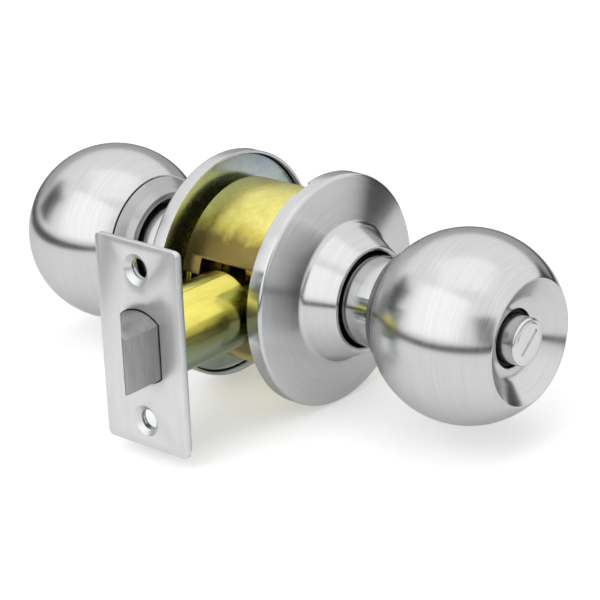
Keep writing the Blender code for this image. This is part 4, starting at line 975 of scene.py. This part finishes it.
# %% Turn the drum and cut its window
CASE_WALL = 1.2 * MM
CASE_START = INSIDE_DOOR + 1.5 * MM
CASE_END = OUTSIDE_DOOR - 2.0 * MM
CASE_BORE_R = CASE_R - CASE_WALL
WINDOW_Z = (-7.8 * MM, 10.6 * MM)
WINDOW_HALF_Y = 12.0 * MM
END_SLOT_HALF_Z = 6.2 * MM


def latch_side_bar(name, low, high, start, end):
    """A bar through the drum's latch side, between two heights and along Y."""
    reach = -CASE_R - PAST
    return prism(name, [(reach, low), (0.0, low), (0.0, high), (reach, high)], "Y", start, end)


drum = turned_mesh("drum_case", [
    (CASE_R, CASE_START, 0.0), (CASE_R, CASE_END, 0.0),
    (CASE_BORE_R, CASE_END, 0.0), (CASE_BORE_R, CASE_START, 0.0)], 180)
window = latch_side_bar("window", *WINDOW_Z, -WINDOW_HALF_Y, WINDOW_HALF_Y)
end_slot = latch_side_bar("end_slot", -END_SLOT_HALF_Z, END_SLOT_HALF_Z, 0.0, CASE_END + PAST)
# The drum's finish is painted light by height: paler at the top and bottom as painted highlight, darker
# about the middle as painted shade.
fit(show(soften(cut(drum, window, end_slot), 0.3 * MM), DRUM_ZINC_PAINTED_LIGHT), "chassis", "yellow_zinc", "chassis_case")

# %% [markdown]
# ## Ends, hubs and plates of the drum
#
# Two discs close the drum, a threaded hub stands on each, and flat plates inside the roses clamp the
# door. The threads are cut as rings in the turned outline: at 1.5 mm a turn, rings and a true helix
# can't be told apart, and rings keep the mesh closed.

# %% Turn the ends, hubs and plates
def threaded(radius, start, end, pitch=1.5 * MM, depth=0.45 * MM):
    """Corners of a threaded length, crest to crest."""
    turns = max(1, round(abs(end - start) / pitch))
    step = (end - start) / turns
    corners = []
    for turn in range(turns):
        corners.append((radius, start + step * (turn + 0.10), 0.0))
        corners.append((radius, start + step * (turn + 0.35), 0.0))
        corners.append((radius - depth, start + step * (turn + 0.65), 0.0))
        corners.append((radius - depth, start + step * (turn + 0.80), 0.0))
    return corners


BEARING_R = SHANK_R - SHANK_WALL - 0.1 * MM
HUB_R = BEARING_R + 3.4 * MM
END_PLATE_R = CASE_BORE_R - FIT
END_PLATE_WALL = 1.8 * MM
PLATE_R = ROSE_R - ROSE_WALL - FIT
HUB_REACH = 7.5 * MM  # how far a hub stands out of the door
POST_Z = HUB_R + 4.5 * MM


def screw_holes(start, end, radius=2.6 * MM):
    """Cutters for the two mounting screws, above and below the hub."""
    holes = []
    for height in (POST_Z, -POST_Z):
        hole = turned_mesh("screw_hole", [
            (0.0, start, 0.0), (radius, start, 0.0), (radius, end, 0.0), (0.0, end, 0.0)], 40)
        hole.transform(Matrix.Translation((0.0, 0.0, height)))
        holes.append(hole)
    return holes


for side, start, end in (("inside", CASE_START, CASE_START + END_PLATE_WALL),
                         ("outside", CASE_END - END_PLATE_WALL, CASE_END)):
    disc = turned_mesh(side + "_drum_end", [
        (BEARING_R, start, 0.15 * MM), (END_PLATE_R, start, 0.3 * MM),
        (END_PLATE_R, end, 0.3 * MM), (BEARING_R, end, 0.15 * MM)], 144)
    if side == "inside":
        disc = cut(disc, *screw_holes(start - PAST, end + PAST))
    fit(show(disc, YELLOW_ZINC), "chassis", "yellow_zinc", side + "_end_plate")

for side, start, end in (("inside", CASE_START - FIT, INSIDE_DOOR - HUB_REACH),
                         ("outside", CASE_END + FIT, OUTSIDE_DOOR + HUB_REACH)):
    corners = [(BEARING_R, start, 0.0), (HUB_R, start, 0.0)] + threaded(HUB_R, start, end)
    corners += [(HUB_R - 0.3 * MM, end, 0.2 * MM), (BEARING_R, end, 0.2 * MM)]
    hub = turned_mesh(side + "_threaded_hub", corners, 120)
    fit(show(hub, YELLOW_ZINC), "chassis", "yellow_zinc", side + "_hub")

PLATE_BORE_R = HUB_R + FIT
start = INSIDE_DOOR - FIT
end = start - 1.5 * MM
plate = turned_mesh("rose_mounting_disc", [
    (PLATE_BORE_R, start, 0.1 * MM), (PLATE_R, start, 0.3 * MM),
    (PLATE_R, end, 0.5 * MM), (PLATE_BORE_R, end, 0.1 * MM)], 160)
plate = cut(plate, *screw_holes(start - 2 * PAST, start + PAST))
fit(show(plate, CLEAR_ZINC), "chassis", "clear_zinc", "inside_mounting_plate")

LINER_NECK_R = HUB_R + 2.2 * MM
start = OUTSIDE_DOOR + 1.9 * MM
end = start + 1.2 * MM
neck_end = end + 2.5 * MM
liner = turned_mesh("rose_backing_disc", [
    (PLATE_BORE_R, start, 0.15 * MM), (PLATE_R, start, 0.3 * MM), (PLATE_R, end - 0.2 * MM, 0.1 * MM),
    (PLATE_R - 0.9 * MM, end, 0.2 * MM), (LINER_NECK_R, end, 0.4 * MM),
    (LINER_NECK_R, neck_end, 0.2 * MM), (PLATE_BORE_R, neck_end, 0.2 * MM)], 160)
fit(show(liner, CLEAR_ZINC), "chassis", "clear_zinc", "outside_rose_liner")

# %% [markdown]
# ## Latch
#
# The latch fits a hole bored in the door's edge. A flat faceplate with rounded corners takes two
# countersunk wood screws, a second plate behind it carries a tube, and the bolt slides in the tube.
# The tube is rolled from sheet, so a fine seam runs along its top. The bolt is a round bar with two
# flats and one long bevel, which lets the door push it in as it closes.


# %% Make the faceplate and the plate behind it
def round_bar(radius, half_width, steps=28):
    """A circle with two flats, as (y, z) points."""
    corner = math.acos(half_width / radius)
    points = []
    for start in (corner, math.pi + corner):
        for step in range(steps + 1):
            angle = start + (math.pi - 2 * corner) * step / steps
            points.append((radius * math.cos(angle), radius * math.sin(angle)))
    return points


def rounded_block(half_a, half_b, radius, steps=8):
    """A rectangle with round corners."""
    points = []
    for quarter, (sign_a, sign_b) in enumerate(((1, 1), (-1, 1), (-1, -1), (1, -1))):
        for step in range(steps + 1):
            angle = math.pi / 2 * (quarter + step / steps)
            points.append((sign_a * (half_a - radius) + radius * math.cos(angle),
                           sign_b * (half_b - radius) + radius * math.sin(angle)))
    return points


def latch_turned(name, corners, steps, height=0.0):
    """A shape turned about the latch's own axis, at a height."""
    mesh = turned_mesh(name, corners, steps, about="X")
    mesh.transform(Matrix.Translation((0.0, 0.0, height)))
    return mesh


BOLT_R = TUBE_R - 0.9 * MM
BOLT_HALF = 6.7 * MM
HALF_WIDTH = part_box("latch_faceplate")[1].y
HALF_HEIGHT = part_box("latch_faceplate")[1].z
PLATE_CORNER = 1.5 * MM
BACK_INSET = 0.7 * MM  # how much smaller the rear plate is, all round
HOLE_Z = 21.1 * MM
HOLE_R = 2.8 * MM
SINK_R = 4.3 * MM
SINK_DEPTH = 1.1 * MM
face_holes, back_holes = [], []
for height in (HOLE_Z, -HOLE_Z):
    face_holes.append(latch_turned("countersunk_hole", [
        (0.0, FACE_X - PAST, 0.0), (SINK_R, FACE_X - PAST, 0.0), (SINK_R, FACE_X + 0.05 * MM, 0.0),
        (HOLE_R, FACE_X + SINK_DEPTH, 0.0), (HOLE_R, FACE_BACK_X + 2 * PAST, 0.0),
        (0.0, FACE_BACK_X + 2 * PAST, 0.0)], 72, height))
    back_holes.append(latch_turned("screw_hole", [
        (0.0, FACE_X, 0.0), (HOLE_R, FACE_X, 0.0), (HOLE_R, 0.0, 0.0), (0.0, 0.0, 0.0)], 48, height))
outline = rounded_block(HALF_WIDTH, HALF_HEIGHT, PLATE_CORNER)
front = prism("latch_front_plate", outline, "X", FACE_X, FACE_BACK_X)
opening = prism("bolt_opening", round_bar(BOLT_R + FIT, BOLT_HALF + FIT), "X",
                FACE_X - PAST, FACE_BACK_X + PAST)
front = soften(cut(front, opening, *face_holes), 0.22 * MM)
fit(show(front, PLATE_STEEL), "chassis", "satin_stainless", "latch_faceplate")

back_start, back_end = ends_of("latch_backplate", "x")
outline = rounded_block(HALF_WIDTH - BACK_INSET, HALF_HEIGHT - BACK_INSET, PLATE_CORNER)
rear = prism("latch_rear_plate", outline, "X", back_start, back_end)
tube_hole = latch_turned("tube_hole", [
    (0.0, back_start - PAST, 0.0), (TUBE_R + FIT, back_start - PAST, 0.0),
    (TUBE_R + FIT, back_end + PAST, 0.0), (0.0, back_end + PAST, 0.0)], 96)
rear = soften(cut(rear, tube_hole, *back_holes), 0.15 * MM)
fit(show(rear, CLEAR_ZINC), "chassis", "clear_zinc", "latch_backplate")

# %% Make the bolt and the tube
tip_x, bolt_end = ends_of("latch_bolt", "x")
bolt = prism("bevelled_bolt", round_bar(BOLT_R, BOLT_HALF), "X", tip_x, bolt_end)
BOLT_NOSE = 1.0 * MM  # the flat left at the bolt's tip
bevel_end = FACE_X - 0.2 * MM
slope = (2 * BOLT_HALF - BOLT_NOSE) / (bevel_end - tip_x)
wedge = prism("bolt_bevel", [(tip_x - PAST, -BOLT_HALF + BOLT_NOSE - PAST * slope),
                             (bevel_end + FIT, BOLT_HALF + FIT * slope),
                             (tip_x - PAST, BOLT_HALF + FIT * slope)],
              "Y", -BOLT_R - PAST, BOLT_R + PAST)
# The wedge is drawn in (x, z) and extruded along Y. A quarter turn about X lays it along Z.
wedge.transform(Matrix.Rotation(math.radians(-90.0), 4, "X"))
pocket = prism("tail_pocket", block(1.3 * MM, 1.9 * MM), "X", bolt_end - 5.0 * MM, bolt_end + PAST)
bolt = soften(cut(bolt, wedge, pocket), 0.5 * MM, 4, 50.0)
fit(show(bolt, BOLT_STEEL), "bolt", "satin_stainless", "latch_bolt")

tube_start, tube_end = ends_of("latch_tube", "x")
TUBE_BORE_R = TUBE_R - 0.6 * MM
tube = latch_turned("rolled_latch_tube", [
    (TUBE_R, tube_start, 0.1 * MM), (TUBE_R, tube_end, 0.3 * MM),
    (TUBE_BORE_R, tube_end, 0.1 * MM), (TUBE_BORE_R, tube_start, 0.1 * MM)], 144)
SEAM_TURN = math.radians(10.0)  # how far the seam lies from the top
seam = prism("tube_seam", block(0.12 * MM, 0.3 * MM), "X", tube_start - PAST, tube_end + PAST)
seam.transform(Matrix.Rotation(SEAM_TURN, 4, "X") @ Matrix.Translation((0.0, 0.0, TUBE_R)))
# The tube's finish is painted light by height: paler above as painted highlight, darker below as painted
# shade.
fit(show(cut(tube, seam), TUBE_ZINC_PAINTED_LIGHT), "chassis", "yellow_zinc", "latch_tube")

# %% [markdown]
# ## Finishes for the inner pieces
#
# The pieces that stay as they came, such as the slide, the spindles and the springs, are right in
# shape and are seen only through the drum's window. They need a real finish all the same, because
# anyone may look in from another side, or take the set apart. Each takes the finish that its
# material slot names, but for the button guide, which is near black as painted shade inside the drum.

# %% Give every remaining piece its finish
SLOT_FINISH = {
    "satin_stainless": SATIN_STEEL,
    "polished_stainless": NECK_STEEL,
    "yellow_zinc": YELLOW_ZINC,
    "clear_zinc": CLEAR_ZINC,
    "spring_steel": SPRING_STEEL,
    "brass": BRASS,
}
# The button guide takes the painted shade in place of its slot's finish.
PAINTED_SHADE_FINISH = {"button_guide": GUIDE_IN_PAINTED_SHADE}
finished = 0
for part in frame["record"]["subparts"]:
    node = bpy.data.objects.get(part["node"])
    if node is None or node.type != "MESH":
        continue
    finish = PAINTED_SHADE_FINISH.get(part["node"], SLOT_FINISH[part["material_slot"]])
    if not node.material_slots:
        node.data.materials.append(finish)
    for place in node.material_slots:
        place.material = finish
    finished += 1
print(finished, "pieces have a finish")
